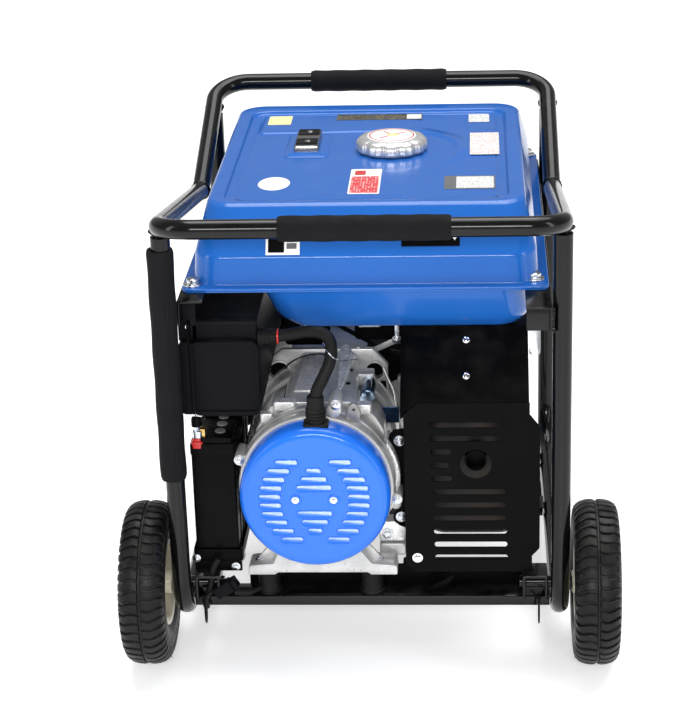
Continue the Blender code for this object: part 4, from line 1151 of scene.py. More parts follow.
def make_labels():
    """Plain printed labels: blocks and bars with no words."""
    z = TOP_Z + 0.0001
    oval = [(-0.1265 + 0.0215 * math.cos(t * math.pi / 24), -0.0985 + 0.03 * math.sin(t * math.pi / 24), z)
            for t in range(48)]
    sticker("oval_label", oval, "white_label")
    flat = (("caution_border", (-0.0255, 0.0165, -0.148, -0.036), "white_label", 0.0), ("caution_label",
            (-0.023, 0.014, -0.144, -0.07), "red_label", 0.0002), ("caution_head",
            (-0.023, 0.014, -0.0675, -0.04), "white_label", 0.0002), ("caution_mark",
            (-0.0195, -0.005, -0.064, -0.044), "red_plastic", 0.0004), ("plate_border",
            (0.102, 0.17, -0.131, -0.072), "grey_label", 0.0), ("plate_paper",
            (0.118, 0.168, -0.127, -0.076), "bars_label", 0.0002), ("icon_paper",
            (0.136, 0.177, 0.025, 0.135), "icon_label", 0.0012), ("yellow_paper",
            (-0.16, -0.126, 0.184, 0.23), "yellow_label", 0.003), ("dark_paper",
            (-0.06, 0.066, 0.204, 0.235), "dark_label", 0.003), ("dark_mark", (0.043, 0.0645, 0.208, 0.231),
            "white_label", 0.0032), ("small_paper", (0.134, 0.164, 0.195, 0.238), "bars_label", 0.0004))
    for name, edges, finish, lift in flat:
        sticker(name, rounded_ring(*edges, LABEL_CORNER, z, 4), finish, lift)
    sloped = (("noise_border", (-0.127, -0.083, 0.5665, 0.59), "white_label", 0.0006), ("noise_block",
            (-0.124, -0.103, 0.569, 0.585), "smooth_black", 0.0008), ("noise_unit",
            (-0.1, -0.087, 0.573, 0.579), "grey_label", 0.0008), ("front_strip",
            (0.048, 0.123, 0.5745, 0.591), "smooth_black", 0.0004))
    for name, (x0, x1, low, high), finish, lift in sloped:
        outline = [flange_plane(x, h) for x, h in ((x0, low), (x1, low), (x1, high), (x0, high))]
        sticker(name, outline, finish, lift)
    mark = [flange_plane(x, h) for x, h in ((0.1165, 0.5805), (0.1215, 0.5865), (0.1115, 0.5865))]
    sticker("front_strip_mark", mark, "white_label", 0.0006)


def make_fuel_cap():
    """Pressed cap with a fluted skirt and a printed disc on its crown."""
    centre = Vector((CAP_X, CAP_Y, 0))
    flutes, steps = 12, 144
    top = CAP_HIGH.z - 0.0006
    levels = [(top, 0.024), (top - 0.0002, 0.034), (top - 0.0012, 0.041), (top - 0.0032, 0.0462),
            (top - 0.0065, 0.0492), (top - 0.01, 0.05), (0.623, 0.0503), (0.6212, 0.05), (0.619, 0.048),
            (0.6184, 0.045), (0.6184, 0.0335), (0.602, 0.033), (0.6012, 0.032)]
    rings = []
    for z, radius in levels:
        ring = []
        for k in range(steps):
            turn = 2 * math.pi * k / steps
            wave = math.cos(turn * flutes)
            dip = 0.0026 * max(0.0, min(1.0, (-wave - 0.15) / 0.6))
            depth = dip * min(1.0, max(0.0, (radius - 0.04) / 0.007)) * (z > 0.6186)
            ring.append(centre + Vector((math.cos(turn), math.sin(turn), 0)) * (radius - depth) + Z * z)
        rings.append(ring)
    settle(loft(rings), "fuel_cap_pressing", "cap_metal", "cap", "fuel_cap", 40)
    disc = turned([(top - 0.0002, 0), (top - 0.0002, 0.0345), (top + 0.0004, 0.034), (top + 0.0004, 0)],
            centre, Z, 64, 0.0002)
    settle(disc, "cap_disc", "white_label", "cap")
    band = turned([(top + 0.0003, 0.03), (top + 0.0006, 0.03), (top + 0.0006, 0.0318),
            (top + 0.0003, 0.0318)], centre, Z, 64, 0.0001)
    settle(band, "cap_disc_ring", "red_plastic", "cap")
    drop = turned([(top + 0.0003, 0), (top + 0.0003, 0.0085), (top + 0.0006, 0.0083), (top + 0.0006, 0)],
            centre + Vector((0.002, 0.002, 0)), Z, 40, 0.0001)
    settle(drop, "cap_disc_spot", "yellow_label", "cap")
    bars = []
    for turn in (0.6, 2.1, 3.9):
        along = Vector((math.cos(turn), math.sin(turn), 0))
        start = centre + along * 0.006 + Z * (top + 0.0007)
        bars.append(rod(start, start + along * 0.0165, 0.0005, 8))
    settle(bars, "cap_disc_rays", "red_plastic", "cap")


def make_gauge():
    """Fuel gauge: chromed frame with two dark windows on a pressed pad."""
    low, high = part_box("fuel_gauge")
    pad = [rounded_ring(low.x - e, high.x + e, low.y - e * 1.4, high.y + e, 0.006, TOP_Z + h) for e,
            h in ((0.0125, 0.0002), (0.007, 0.003), (0.001, 0.0036))]
    settle(loft(pad), "gauge_pad", "tank_enamel", sharp=40)
    body = loft([rounded_ring(low.x + e, high.x - e, low.y + e, high.y - e, 0.003, z) for e,
            z in ((0.001, TOP_Z + 0.002), (0.001, high.z - 0.003), (0.0025, high.z - 0.0006),
            (0.004, high.z - 0.0004))])
    settle(body, "gauge_frame", "grey_metal", replaces="fuel_gauge", sharp=40)
    mid = (low.x + high.x) / 2
    length = high.y - low.y
    for k, (a, b) in enumerate(((0.05, 0.4), (0.62, 0.96))):
        y0, y1 = low.y + length * a, low.y + length * b
        window = loft([rounded_ring(low.x + 0.003, high.x - 0.003, y0, y1, 0.003, z)
                for z in (high.z - 0.002, high.z + 0.0002)])
        settle(ease_edges(window, 0.0003), "gauge_window_%d" % k, "smooth_black")
        dot = turned([(0, 0), (0, 0.0042), (0.0006, 0.0038), (0.0006, 0)], (mid + 0.001, (y0 + y1) / 2
                + 0.002, high.z + 0.0001), Z, 28, 0.0002)
        settle(dot, "gauge_dot_%d" % k, "chrome")
        needle = block((mid - 0.002, (y0 + y1) / 2, high.z + 0.0006), (mid + 0.004, (y0 + y1) / 2 + 0.001,
                high.z + 0.001), 0.0002)
        settle(needle, "gauge_needle_%d" % k, "smooth_black")


def make_tank():
    make_tank_upper()
    make_tank_panel()
    make_tank_lower()
    make_tank_fasteners()
    make_labels()
    make_fuel_cap()
    make_gauge()


# ---------------------------------------------------------------- alternator

SHAFT = Vector((SHAFT_X, 0, SHAFT_Z))
COVER_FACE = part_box("alternator_cover")[0].y
COVER_R = (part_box("alternator_cover")[1].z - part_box("alternator_cover")[0].z) / 2
EARS = [(math.radians(a), reach) for a, reach in ((76.4, 0.1215), (158.4, 0.108), (253.0, 0.1095),
        (350.4, 0.1075))]
LOUVRE_PITCH = 0.0124


def slab(axis, across, up, radius, span, ease=0.0, corner=6):
    """A rounded rectangle drawn out along an axis, with its end edges eased."""
    order = {"x": "zxy", "y": "xzy", "z": "xyz"}[axis]
    levels = []
    for k in range(4 if ease else 1):
        turn = math.pi / 2 * k / 3
        levels.append((ease * (1 - math.sin(turn)), ease * (1 - math.cos(turn))))
    rows = [(inset, span[0] + depth) for inset, depth in levels]
    rows += [(inset, span[1] - depth) for inset, depth in reversed(levels)]
    rings = []
    for inset, level in rows:
        ring = rounded_ring(across[0] + inset, across[1] - inset, up[0] + inset, up[1] - inset,
                max(radius - inset, 0.0002), level, corner)
        rings.append(swap(ring, order))
    return loft(rings)


def prism(outline, axis, low, high, ease=0.0006):
    """A closed outline drawn out along an axis."""
    order = {"x": "zxy", "y": "xzy", "z": "xyz"}[axis]
    rings = [swap([(a, b, level) for a, b in outline], order) for level in (low, high)]
    obj = loft(rings)
    return ease_edges(obj, ease, 2) if ease else obj


def on_shaft(obj, turn):
    """Turn a piece drawn at the origin and set it on the shaft's line."""
    obj.data.transform(Matrix.Translation(SHAFT) @ Matrix.Rotation(turn, 4, "Y"))
    return obj


def from_shaft(angle, reach, y=0.0):
    """A place at an angle and a distance from the shaft's line."""
    return SHAFT + Vector((math.cos(angle), 0, math.sin(angle))) * reach + Y * y


def louvre(x, z, half_long, half_high):
    """One pressed hood on the end cover, leaning out towards its open lower edge."""
    rings = []
    for inset, rise, lean in ((0, -0.0006, 0), (0, 0.0001, 0), (0.0003, 0.0004, 0.4),
            (0.0008, 0.0005, 0.95), (0.0014, 0.0005, 1.0)):
        flat = rounded_ring(x - half_long + inset, x + half_long - inset, z - half_high + inset, z
                + half_high - inset, half_high * 0.62 - inset * 0.4, 0, 5)
        ring = []
        for px, pz, _ in flat:
            out = rise + lean * 0.0044 * (z + half_high - pz) / (2 * half_high)
            ring.append((px, COVER_FACE - out, pz))
        rings.append(ring)
    return loft(rings)


def louvre_places():
    """Two columns that follow the cover's round, and a lens of wider ones between them."""
    places = []
    for row in range(10):
        dz = 0.0539 - LOUVRE_PITCH * row
        reach = math.sqrt(max(0.0735 ** 2 - dz ** 2, 0))
        for side in (-1, 1):
            places.append((SHAFT_X + side * (reach - 0.015), SHAFT_Z + dz, 0.0149, 0.0047))
    for dz, width in ((0.042, 0.02), (0.0296, 0.035), (0.0176, 0.047), (-0.0197, 0.047), (-0.0322, 0.035),
            (-0.0448, 0.02)):
        places.append((SHAFT_X, SHAFT_Z + dz, width / 2, 0.0047))
    return places


def make_alternator_cover():
    """Pressed end cover with louvres, cooling slots under them and two screws."""
    y = COVER_FACE
    profile = [(y, 0), (y, 0.0885), (y + 0.0018, 0.0943), (y + 0.0068, 0.098), (y + 0.012, COVER_R),
            (y + 0.037, COVER_R), (y + 0.037, 0.0978), (y + 0.0125, 0.0978), (y + 0.0085, 0.0965),
            (y + 0.0035, 0.093), (y + 0.0018, 0.0875), (y + 0.0018, 0)]
    shell = turned(profile, SHAFT, Y, 96, 0.0022)
    slots = []
    hoods = []
    for x, z, long_half, high_half in louvre_places():
        under = z - high_half - 0.0009
        slots.append(slab("y", (x - long_half + 0.003, x + long_half - 0.003),
                (under - 0.0007, under + 0.0007), 0.0006, (y - 0.004, y + 0.004), corner=2))
        hoods.append(louvre(x, z, long_half, high_half))
    cut(shell, joined(slots))
    dimples = []
    for side in (-1, 1):
        place = SHAFT + Vector((side * 0.025, y, 0.0))
        dimples.append(turned([(-0.001, 0.005), (-0.0014, 0.0062), (-0.0008, 0.0078), (0.0004, 0.0084),
                (0.0004, 0.005)], place, Y, 32, 0.0004))
    settle([shell] + hoods + dimples, "alternator_cover_pressing", "cover_enamel",
            replaces="alternator_cover", sharp=38)
    spots = [(SHAFT + Vector((side * 0.025, y - 0.0002, 0)), -Y, 15) for side in (-1, 1)]
    fasten("cover_screws", hex_bolt(0.003), spots, "chrome")
    # a black disc just behind the face: painted shade that darkens the cooling slots
    shade_disc = turned([(y + 0.006, 0), (y + 0.006, 0.086), (y + 0.0066, 0.086), (y + 0.0066, 0)], SHAFT, Y,
            64)
    settle(shade_disc, "cover_shade_disc", "satin_black")


def make_end_bell():
    """Cast end bell: stepped ring, spokes, bearing boss, four lugs and the foot."""
    profile = [(-0.2872, 0.096), (-0.2872, 0.1015), (-0.285, 0.103), (-0.276, 0.103), (-0.274, 0.1012),
            (-0.26, 0.1008), (-0.258, 0.103), (-0.247, 0.103), (-0.2452, 0.1018), (-0.2452, 0.095),
            (-0.256, 0.095), (-0.256, 0.024), (-0.25, 0.024), (-0.25, 0.0135), (-0.28, 0.0135),
            (-0.28, 0.024), (-0.262, 0.024), (-0.262, 0.095)]
    pieces = [turned(profile, SHAFT, Y, 96, 0.0009)]
    for angle, reach in EARS:
        for away, near, far, radius in ((reach, -0.2866, -0.2462, 0.0076),
                (reach - 0.009, -0.285, -0.247, 0.0095)):
            pieces.append(rod(from_shaft(angle, away, near), from_shaft(angle, away, far), radius, 32,
                    0.001))
    for k in range(8):
        angle = 2 * math.pi * k / 8
        pieces.append(rod(from_shaft(angle, 0.02, -0.268), from_shaft(angle, 0.097, -0.268), 0.004, 12))
    left, right = SHAFT_X - 0.096, SHAFT_X + 0.105
    outline = [(left, 0.1252), (left + 0.036, 0.1252), (left + 0.04, 0.1285), (right - 0.04, 0.1285),
            (right - 0.036, 0.1252), (right, 0.1252), (right, 0.1365), (right - 0.003, 0.1395),
            (right - 0.034, 0.1425), (SHAFT_X + 0.052, 0.168), (SHAFT_X - 0.052, 0.168),
            (left + 0.034, 0.1425), (left + 0.003, 0.1395), (left, 0.1365)]
    pieces.append(prism(outline, "y", -0.2848, -0.2477, 0.0022))
    for side in (-1, 1):
        rib = prism([(SHAFT_X + side * 0.056, 0.1405), (SHAFT_X + side * 0.086, 0.1405),
                (SHAFT_X + side * 0.06, 0.172)], "y", -0.269, -0.264, 0.001)
        pieces.append(rib)
    settle(pieces, "end_bell_casting", "cast", replaces="end_bell", sharp=35)
    spots = []
    for k, (angle, reach) in enumerate(EARS):
        spots.append((from_shaft(angle, reach, -0.2868), -Y, 23 * k))
    for side in (-1, 1):
        spots.append((Vector((SHAFT_X + side * 0.082, -0.266, 0.1392)), Z, 12))
    fasten("end_bell_bolts", hex_bolt(0.0038), spots)
    # the lug uses the lighter cast copy, a painted highlight
    lug = slab("y", (-0.196, -0.172), (0.129, 0.15), 0.009, (-0.256, -0.244), 0.003)
    settle(lug, "side_lug_left", "cast_painted_highlight")


def make_stator():
    """Laminated stack between two steel bands, with four through rods and the winding heads."""
    stack = turned([(-0.2448, 0.0665), (-0.2448, 0.0965), (-0.235, 0.0975), (-0.2345, 0.0968),
            (-0.138, 0.0968), (-0.1375, 0.0975), (-0.128, 0.097), (-0.128, 0.0665)], SHAFT, Y, 96)
    settle(stack, "stator_stack", "stator_steel", replaces="stator")
    rods = []
    for angle, _ in EARS:
        rods.append(rod(from_shaft(angle, 0.102, -0.2462), from_shaft(angle, 0.102, -0.127), 0.0032, 16))
    settle(rods, "through_rods", "zinc")
    for k, (near, far) in enumerate(((-0.2445, -0.2465), (-0.1278, -0.124))):
        y0, y1 = min(near, far), max(near, far)
        coil = turned([(y0, 0.07), (y0 - 0.001, 0.08), (y0, 0.09), (y1, 0.09), (y1 + 0.001, 0.08),
                (y1, 0.07)], SHAFT, Y, 64, 0.002)
        settle(coil, "winding_head_%d" % k, "winding")


def make_rotor():
    """Shaft, salient core and cooling fan, all turning together."""
    shaft = turned([(-0.3, 0), (-0.3, 0.012), (-0.228, 0.0125), (-0.228, 0.03), (-0.146, 0.03),
            (-0.146, 0.018), (-0.0736, 0.016), (-0.0736, 0)], SHAFT, Y, 48)
    settle(shaft, "rotor_shaft", "steel", "crank", "rotor")
    core = turned([(-0.226, 0.03), (-0.226, 0.064), (-0.148, 0.064), (-0.148, 0.03)], SHAFT, Y, 64, 0.003)
    notches = [on_shaft(block((0.048, -0.24, -0.022), (0.08, -0.13, 0.022)), turn) for turn in (0, math.pi)]
    cut(core, joined(notches))
    settle(core, "rotor_core", "laminations", "crank")
    blades = [turned([(-0.1205, 0.018), (-0.1205, 0.079), (-0.1185, 0.08), (-0.1185, 0.018)], SHAFT, Y, 64)]
    for k in range(12):
        out = slab("y", (0.04, 0.078), (-0.0008, 0.0008), 0.0006, (-0.12, -0.1135), corner=2)
        blades.append(on_shaft(out, math.radians(30 * k)))
    settle(blades, "rotor_fan", "grey_plastic", "crank")


def make_adapter():
    """Bell casting with a ribbed ring and the upper plate with its two round windows."""
    ring = turned([(-0.1277, 0.096), (-0.1277, 0.1015), (-0.126, 0.103), (-0.118, 0.103), (-0.116, 0.1008),
            (-0.086, 0.1005), (-0.0835, 0.103), (-0.0725, 0.103), (-0.0725, 0.0185), (-0.0795, 0.0185),
            (-0.0795, 0.096)], SHAFT, Y, 96, 0.0008)
    left, right = SHAFT_X - 0.089, SHAFT_X + 0.089
    outline = [(left, 0.3), (right, 0.3), (right, 0.348), (right - 0.004, 0.354), (SHAFT_X + 0.068, 0.372),
            (SHAFT_X - 0.058, 0.372), (SHAFT_X - 0.0705, 0.362), (SHAFT_X - 0.072, 0.3522),
            (left + 0.003, 0.341), (left, 0.336)]
    plate = prism(outline, "y", -0.0822, -0.0726, 0.0014)
    windows = (SHAFT_X - 0.0625, SHAFT_X + 0.0705)
    sizes = (0.0142, 0.0124)
    holes = [rod((x, -0.14, 0.34), (x, -0.06, 0.34), size, 48) for x, size in zip(windows, sizes)]
    cut(plate, joined(holes))
    pieces = [ring, plate]
    for x, size in zip(windows, sizes):
        pieces.append(turned([(-0.0862, size), (-0.0862, size + 0.0022), (-0.08, size + 0.003),
                (-0.08, size)], (x, 0, 0.34), Y, 48, 0.0007))
    for sign, x in ((-1, windows[0] - 0.0125), (1, windows[1] + 0.0125)):
        path = smooth_route([(x, -0.09, 0.347), (x + sign * 0.006, -0.096, 0.334),
                (x + sign * 0.014, -0.104, 0.318), (x + sign * 0.0165, -0.112, 0.3),
                (x + sign * 0.015, -0.118, 0.283)], 8)
        pieces.append(loft(sweep(path, 0.0019, 12)))
    settle(pieces, "adapter_casting", "cast", replaces="adapter", sharp=35)
    # black patches below the windows and black discs behind them: painted shade for the dark holes
    shade_patches = [slab("y", (windows[0] - 0.01, windows[0] + 0.004), (0.302, 0.3235), 0.003,
            (-0.0832, -0.0815)), slab("y", (windows[1] - 0.004, windows[1] + 0.016), (0.302, 0.3245), 0.003,
            (-0.0832, -0.0815))]
    for x in windows:
        shade_patches.append(rod((x, -0.073, 0.34), (x, -0.0722, 0.34), 0.0146, 32))
    settle(shade_patches, "adapter_shade_patches", "satin_black")


def make_top_casting():
    """Cast housing over the stator: a raised middle with sloping shoulders and stepped pads."""
    middle = [[(-0.113, -0.236, 0.33), (-0.113, -0.236, 0.353), (-0.105, -0.236, 0.3575),
            (-0.025, -0.236, 0.3575), (-0.016, -0.236, 0.353), (-0.016, -0.236, 0.33)],
            [(-0.113, -0.17, 0.33), (-0.113, -0.17, 0.356), (-0.106, -0.17, 0.361), (-0.025, -0.17, 0.361),
            (-0.016, -0.17, 0.356), (-0.016, -0.17, 0.33)], [(-0.101, -0.083, 0.33),
            (-0.101, -0.083, 0.364), (-0.095, -0.083, 0.369), (-0.03, -0.083, 0.369),
            (-0.021, -0.083, 0.364), (-0.021, -0.083, 0.33)]]
    shoulders = []
    for side, reach in ((-1, 0.083), (1, 0.089)):
        x = SHAFT_X + side * reach
        inner = SHAFT_X + side * 0.046
        rows = []
        for y, drop in ((-0.233, 0.0), (-0.172, 0.004)):
            rows.append([(inner, y, 0.33), (inner, y, 0.3545 - drop),
                    (SHAFT_X + side * 0.062, y, 0.35 - drop), (x - side * 0.01, y, 0.333 - drop),
                    (x, y, 0.316 - drop), (x, y, 0.3)])
        shoulders.append(ease_edges(loft(rows), 0.0016, 2))
    settle([ease_edges(loft(middle), 0.0016, 2)] + shoulders, "top_casting", "cast")
    # the pads use the lighter cast copy, a painted highlight
    pads = [slab("z", (-0.126, -0.096), (-0.245, -0.228), 0.004, (0.348, 0.361), 0.0016), slab("z",
            (-0.144, -0.127), (-0.244, -0.228), 0.003, (0.33, 0.344), 0.0014), slab("z", (-0.017, 0.004),
            (-0.244, -0.228), 0.003, (0.342, 0.356), 0.0014)]
    settle(pads, "casting_pads", "cast_painted_highlight")
    # a thin slab in the lighter cast copy on the deck: a painted highlight
    flat = [[(-0.101, -0.205, z), (-0.064, -0.205, z), (-0.06, -0.09, z + 0.0085),
            (-0.094, -0.09, z + 0.0085)] for z in (0.3575, 0.3612)]
    settle(ease_edges(loft(flat), 0.0008, 2), "painted_highlight_pad", "cast_painted_highlight")


def make_ribbed_web():
    """Triangular ribbed web standing between the conduit and the casting's right half."""
    outline = [(-0.0463, -0.1073), (-0.0405, -0.0885), (-0.0345, -0.0885), (-0.0229, -0.1143),
            (-0.0267, -0.13), (-0.0378, -0.2), (-0.0438, -0.2), (-0.0446, -0.13)]
    rings = [[(x, y, 0.3815 + (y + 0.09) * 0.205 - depth) for x, y in outline] for depth in (0.01, 0.0)]
    web = ease_edges(loft(rings), 0.0008, 2)
    holes = [rod((x, y, 0.4), (x, y, 0.36), 0.0022, 24) for x, y in ((-0.0359, -0.101), (-0.0345, -0.118))]
    cut(web, joined(holes))
    ribs = [web]
    for x, end_x in ((-0.043, -0.0425), (-0.0285, -0.0392)):
        ribs.append(rod((x, -0.115, 0.377), (end_x, -0.198, 0.36), 0.0012, 10))
    # the web uses the lighter cast copy, a painted highlight
    settle(ribs, "ribbed_web", "cast_painted_highlight")
    # black patches on the casting: painted shade standing for two square holes
    hole_shade = [slab("z", (-0.0312, -0.0252), (-0.143, -0.137), 0.0006, (0.36, 0.3652)), slab("z",
            (-0.0328, -0.0268), (-0.183, -0.177), 0.0006, (0.358, 0.3616))]
    settle(hole_shade, "casting_hole_shade", "satin_black")
    barrel = turned([(-0.2, 0), (-0.2, 0.009), (-0.198, 0.01), (-0.15, 0.01), (-0.15, 0)],
            (-0.003, 0, 0.349), Y, 48, 0.0012)
    settle(barrel, "bright_plug", "blued_steel")
    steps = [slab("z", (-0.019, 0.004), (-0.15, -0.128), 0.003, (0.345, 0.362), 0.001), slab("y",
            (-0.023, 0.0), (0.303, 0.313), 0.002, (-0.118, -0.0812), 0.001), slab("y", (-0.115, -0.09),
            (0.305, 0.32), 0.003, (-0.126, -0.0812), 0.002)]
    settle(steps, "casting_steps", "cast")


def make_conduit():
    """Output lead: gland on the control box, smooth conduit and the ribbed boot on the end cover."""
    path = smooth_route([(-0.1398, -0.255, 0.458), (-0.122, -0.255, 0.4585), (-0.1, -0.257, 0.462),
            (-0.074, -0.26, 0.467), (-0.054, -0.265, 0.4655), (-0.0445, -0.273, 0.455),
            (-0.045, -0.285, 0.437), (-0.0535, -0.295, 0.418), (-0.062, -0.3, 0.402),
            (-0.065, -0.301, 0.388)], 8)
    settle(loft(sweep(path, 0.008, 28)), "conduit_tube", "rubber", replaces="conduit")
    collar = [(0.3935, 0.0086), (0.3935, 0.0106), (0.392, 0.0112), (0.377, 0.0114)]
    ribs = []
    for k in range(4):
        level = 0.3768 - k * 0.0046
        ribs += [(level, 0.0112), (level - 0.0008, 0.0134), (level - 0.0028, 0.0136),
                (level - 0.0037, 0.0104)]
    profile = collar + ribs + [(0.3575, 0.0112), (0.3575, 0.0086)]
    boot = turned(profile, (-0.065, -0.301, 0), Z, 48, 0.0005)
    base = slab("z", (-0.0815, -0.0485), (-0.3145, -0.29), 0.004, (0.3505, 0.3578), 0.0012)
    settle([boot, base], "conduit_boot", "rubber", sharp=50)
    gland = []
    for k in range(7):
        radius = 0.0128 - 0.0004 * k
        start = -0.14 + k * 0.0034
        gland += [(start, radius), (start + 0.0017, radius), (start + 0.0019, radius - 0.0012),
                (start + 0.0032, radius - 0.0012)]
    profile = gland + [(-0.116, 0.0075), (-0.14, 0.0075)]
    settle(turned(profile, (0, -0.255, 0.458), X, 40, 0.0003), "conduit_gland", "rubber", sharp=50)
    tie = loft(sweep(ring_path((-0.1145, -0.2555, 0.4592), X, 0.0088, 32), 0.0013, 8))
    settle(tie, "conduit_tie", "red_plastic")
    lead = wire([(-0.123, -0.094, 0.348), (-0.116, -0.096, 0.3565), (-0.0945, -0.13, 0.3802),
            (-0.0629, -0.2, 0.4116), (-0.044, -0.24, 0.42)], 0.001, 8)
    settle(lead, "thin_lead", "satin_black")
    hook = wire([(-0.056, -0.262, 0.452), (-0.047, -0.2885, 0.448), (-0.037, -0.286, 0.438),
            (-0.029, -0.24, 0.418), (-0.016, -0.18, 0.396)], 0.0008, 8)
    settle(hook, "steel_hook_wire", "zinc")


def make_side_castings():
    """Castings in the lighter cast copy, which paints a highlight on them, and the black bracket to the
    right of the end cover.
    """
    crescent = []
    for k in range(17):
        angle = math.radians(-26 + 54 * k / 16)
        bulge = 0.1075 + 0.003 * math.sin(math.pi * k / 16)
        crescent.append((SHAFT_X + bulge * math.cos(angle), SHAFT_Z + bulge * math.sin(angle)))
    for k in range(17):
        angle = math.radians(28 - 54 * k / 16)
        crescent.append((SHAFT_X + 0.1035 * math.cos(angle), SHAFT_Z + 0.1035 * math.sin(angle)))
    # the flange uses the lighter cast copy, a painted highlight
    settle(prism(crescent, "y", -0.26, -0.21, 0.001), "casting_flange", "cast_painted_highlight", sharp=45)
    outline = [(0.023, 0.296), (0.027, 0.313), (0.033, 0.32), (0.0466, 0.322), (0.0466, 0.176),
            (0.039, 0.178), (0.032, 0.184), (0.03, 0.193), (0.0345, 0.203), (0.04, 0.208), (0.041, 0.218),
            (0.038, 0.228), (0.039, 0.25), (0.036, 0.272), (0.028, 0.288)]
    bracket = prism(outline, "y", -0.244, -0.242, 0.0005)
    settle(bracket, "guard_bracket", "satin_black")
    # the side pad uses the lighter cast copy, a painted highlight
    settle(slab("y", (0.0105, 0.045), (0.156, 0.185), 0.003, (-0.244, -0.22), 0.001), "side_pad",
            "cast_painted_highlight")
    lump = [slab("y", (0.0105, 0.046), (0.132, 0.15), 0.004, (-0.24, -0.2), 0.002),
            rod((0.034, -0.248, 0.213), (0.034, -0.23, 0.213), 0.0078, 32, 0.0015)]
    settle(lump, "side_lump", "cast")
    settle(slab("y", (0.005, 0.0372), (0.2905, 0.3136), 0.001, (-0.152, -0.15), 0.0004), "blue_plate",
            "blued_plate")
    lug = slab("y", (-0.003, 0.02), (0.284, 0.304), 0.003, (-0.148, -0.129), 0.001)
    settle(lug, "plate_lug", "cast")
    spots = [((0.0403, -0.2442, 0.3046), -Y, 10), ((0.041, -0.2442, 0.1927), -Y, 40),
            ((0.0218, -0.2442, 0.1675), -Y, 5), ((0.0093, -0.1522, 0.2996), -Y, 28),
            ((-0.018, -0.1262, 0.324), -Y, 10)]
    fasten("side_bolts", hex_bolt(0.0046), spots)
    ear = prism([(-0.029, 0.35), (-0.01, 0.345), (-0.008, 0.36), (-0.012, 0.371), (-0.018, 0.374),
            (-0.024, 0.37)], "y", -0.28, -0.274, 0.0012)
    cut(ear, rod((-0.017, -0.3, 0.365), (-0.017, -0.26, 0.365), 0.0024, 20))
    settle(ear, "lifting_ear", "stator_steel")


def make_alternator():
    make_alternator_cover()
    make_end_bell()
    make_stator()
    make_rotor()
    make_adapter()
    make_top_casting()
    make_ribbed_web()
    make_conduit()
    make_side_castings()


# ---------------------------------------------------------------- engine


def slanted(s, y, t):
    """Point s along the cylinder's axis and t across it."""
    x = SHAFT_X + s * math.cos(SLANT) - t * math.sin(SLANT)
    return Vector((x, y, SHAFT_Z + s * math.sin(SLANT) + t * math.cos(SLANT)))


def slanted_block(s, y, t, ease=0.001):
    """A block drawn along the cylinder's axis."""
    return on_shaft(block((s[0], y[0], t[0]), (s[1], y[1], t[1]), ease), -SLANT)


def make_crankcase():
    """Crankcase casting with its joint flange, oil drain, ribs and feet."""
    refined("crankcase", "cast", 0.0022, 3)
    flange = []
    for y in (-0.02, 0.04, 0.1):
        flange.append(prism([(-0.1585, 0.15), (-0.1585, 0.29), (-0.1625, 0.28), (-0.1625, 0.155)], "y", y
                - 0.002, y + 0.002, 0.0006))
    for x in (-0.14, -0.105, -0.035, 0.0):
        flange.append(slab("y", (x - 0.002, x + 0.002), (0.142, 0.19), 0.001, (-0.0745, -0.07), 0.0005))
    flange.append(rod((-0.16, 0.06, 0.15), (-0.17, 0.06, 0.15), 0.012, 32, 0.001))
    settle(flange, "crankcase_ribs", "cast")
    spots = []
    for x, z in ((-0.15, 0.16), (-0.15, 0.28), (0.022, 0.16), (0.02, 0.21), (-0.069, 0.345)):
        spots.append(((x, 0.118, z), Y, 11))
    spots += [((-0.17, 0.06, 0.15), -X, 9), ((-0.166, -0.06, 0.1382), Z, 12),
            ((-0.166, 0.1, 0.1382), Z, 20), ((0.03, 0.1, 0.1382), Z, 31)]
    fasten("crankcase_bolts", hex_bolt(0.0055), spots)


def make_crankshaft():
    """Crankshaft with the flywheel and its cooling blades."""
    wheel = turned([(-0.0731, 0), (-0.0731, 0.0148), (0.121, 0.015), (0.121, 0.03), (0.124, 0.1),
            (0.126, 0.102), (0.144, 0.102), (0.146, 0.1), (0.148, 0.03), (0.168, 0.03), (0.168, 0)], SHAFT,
            Y, 64)
    settle(wheel, "flywheel", "iron", "crank", "crankshaft")
    blades = []
    for k in range(20):
        blade = slab("y", (0.055, 0.098), (-0.0009, 0.0009), 0.0006, (0.145, 0.157), corner=2)
        blades.append(on_shaft(blade, math.radians(18 * k)))
    settle(blades, "flywheel_fan", "grey_plastic", "crank")


def make_cylinder():
    """Finned barrel and head, with plain fins made one by one."""
    pieces = [slanted_block((0.0953, 0.195), (-0.044, 0.076), (-0.047, 0.047), 0.002)]
    s = 0.102
    while s < 0.19:
        pieces.append(slanted_block((s, s + 0.0022), (-0.048, 0.08), (-0.0575, 0.0575), 0.0006))
        s += 0.0068
    settle(pieces, "cylinder_fins", "cast", replaces="cylinder")
    refined("valve_cover", "cast", 0.0012, 3)
    spots = []
    turn = Vector((math.cos(SLANT), 0, math.sin(SLANT)))
    for y, t in ((-0.03, -0.04), (-0.03, 0.04), (0.062, -0.04), (0.062, 0.04)):
        spots.append((slanted(0.22, y, t * 0.86), turn, 18))
    fasten("valve_cover_bolts", hex_bolt(0.0042), spots)
    plug = slanted(0.168, -0.048, 0.02)
    parts = [rod(plug, plug - Y * 0.012, 0.0075, 6), rod(plug - Y * 0.01, plug - Y * 0.026, 0.0048, 24)]
    settle(parts, "spark_plug", "white_label")
    boot = joined([rod(plug - Y * 0.022, plug - Y * 0.036, 0.0078, 24, 0.0015), wire([plug - Y * 0.034, plug
            + Vector((-0.012, -0.04, 0.018)), plug + Vector((-0.04, -0.03, 0.02)), plug
            + Vector((-0.07, 0.02, 0.01)), (-0.085, 0.06, 0.372), (-0.085, 0.11, 0.366)], 0.0034, 16)])
    settle(boot, "plug_lead", "rubber")


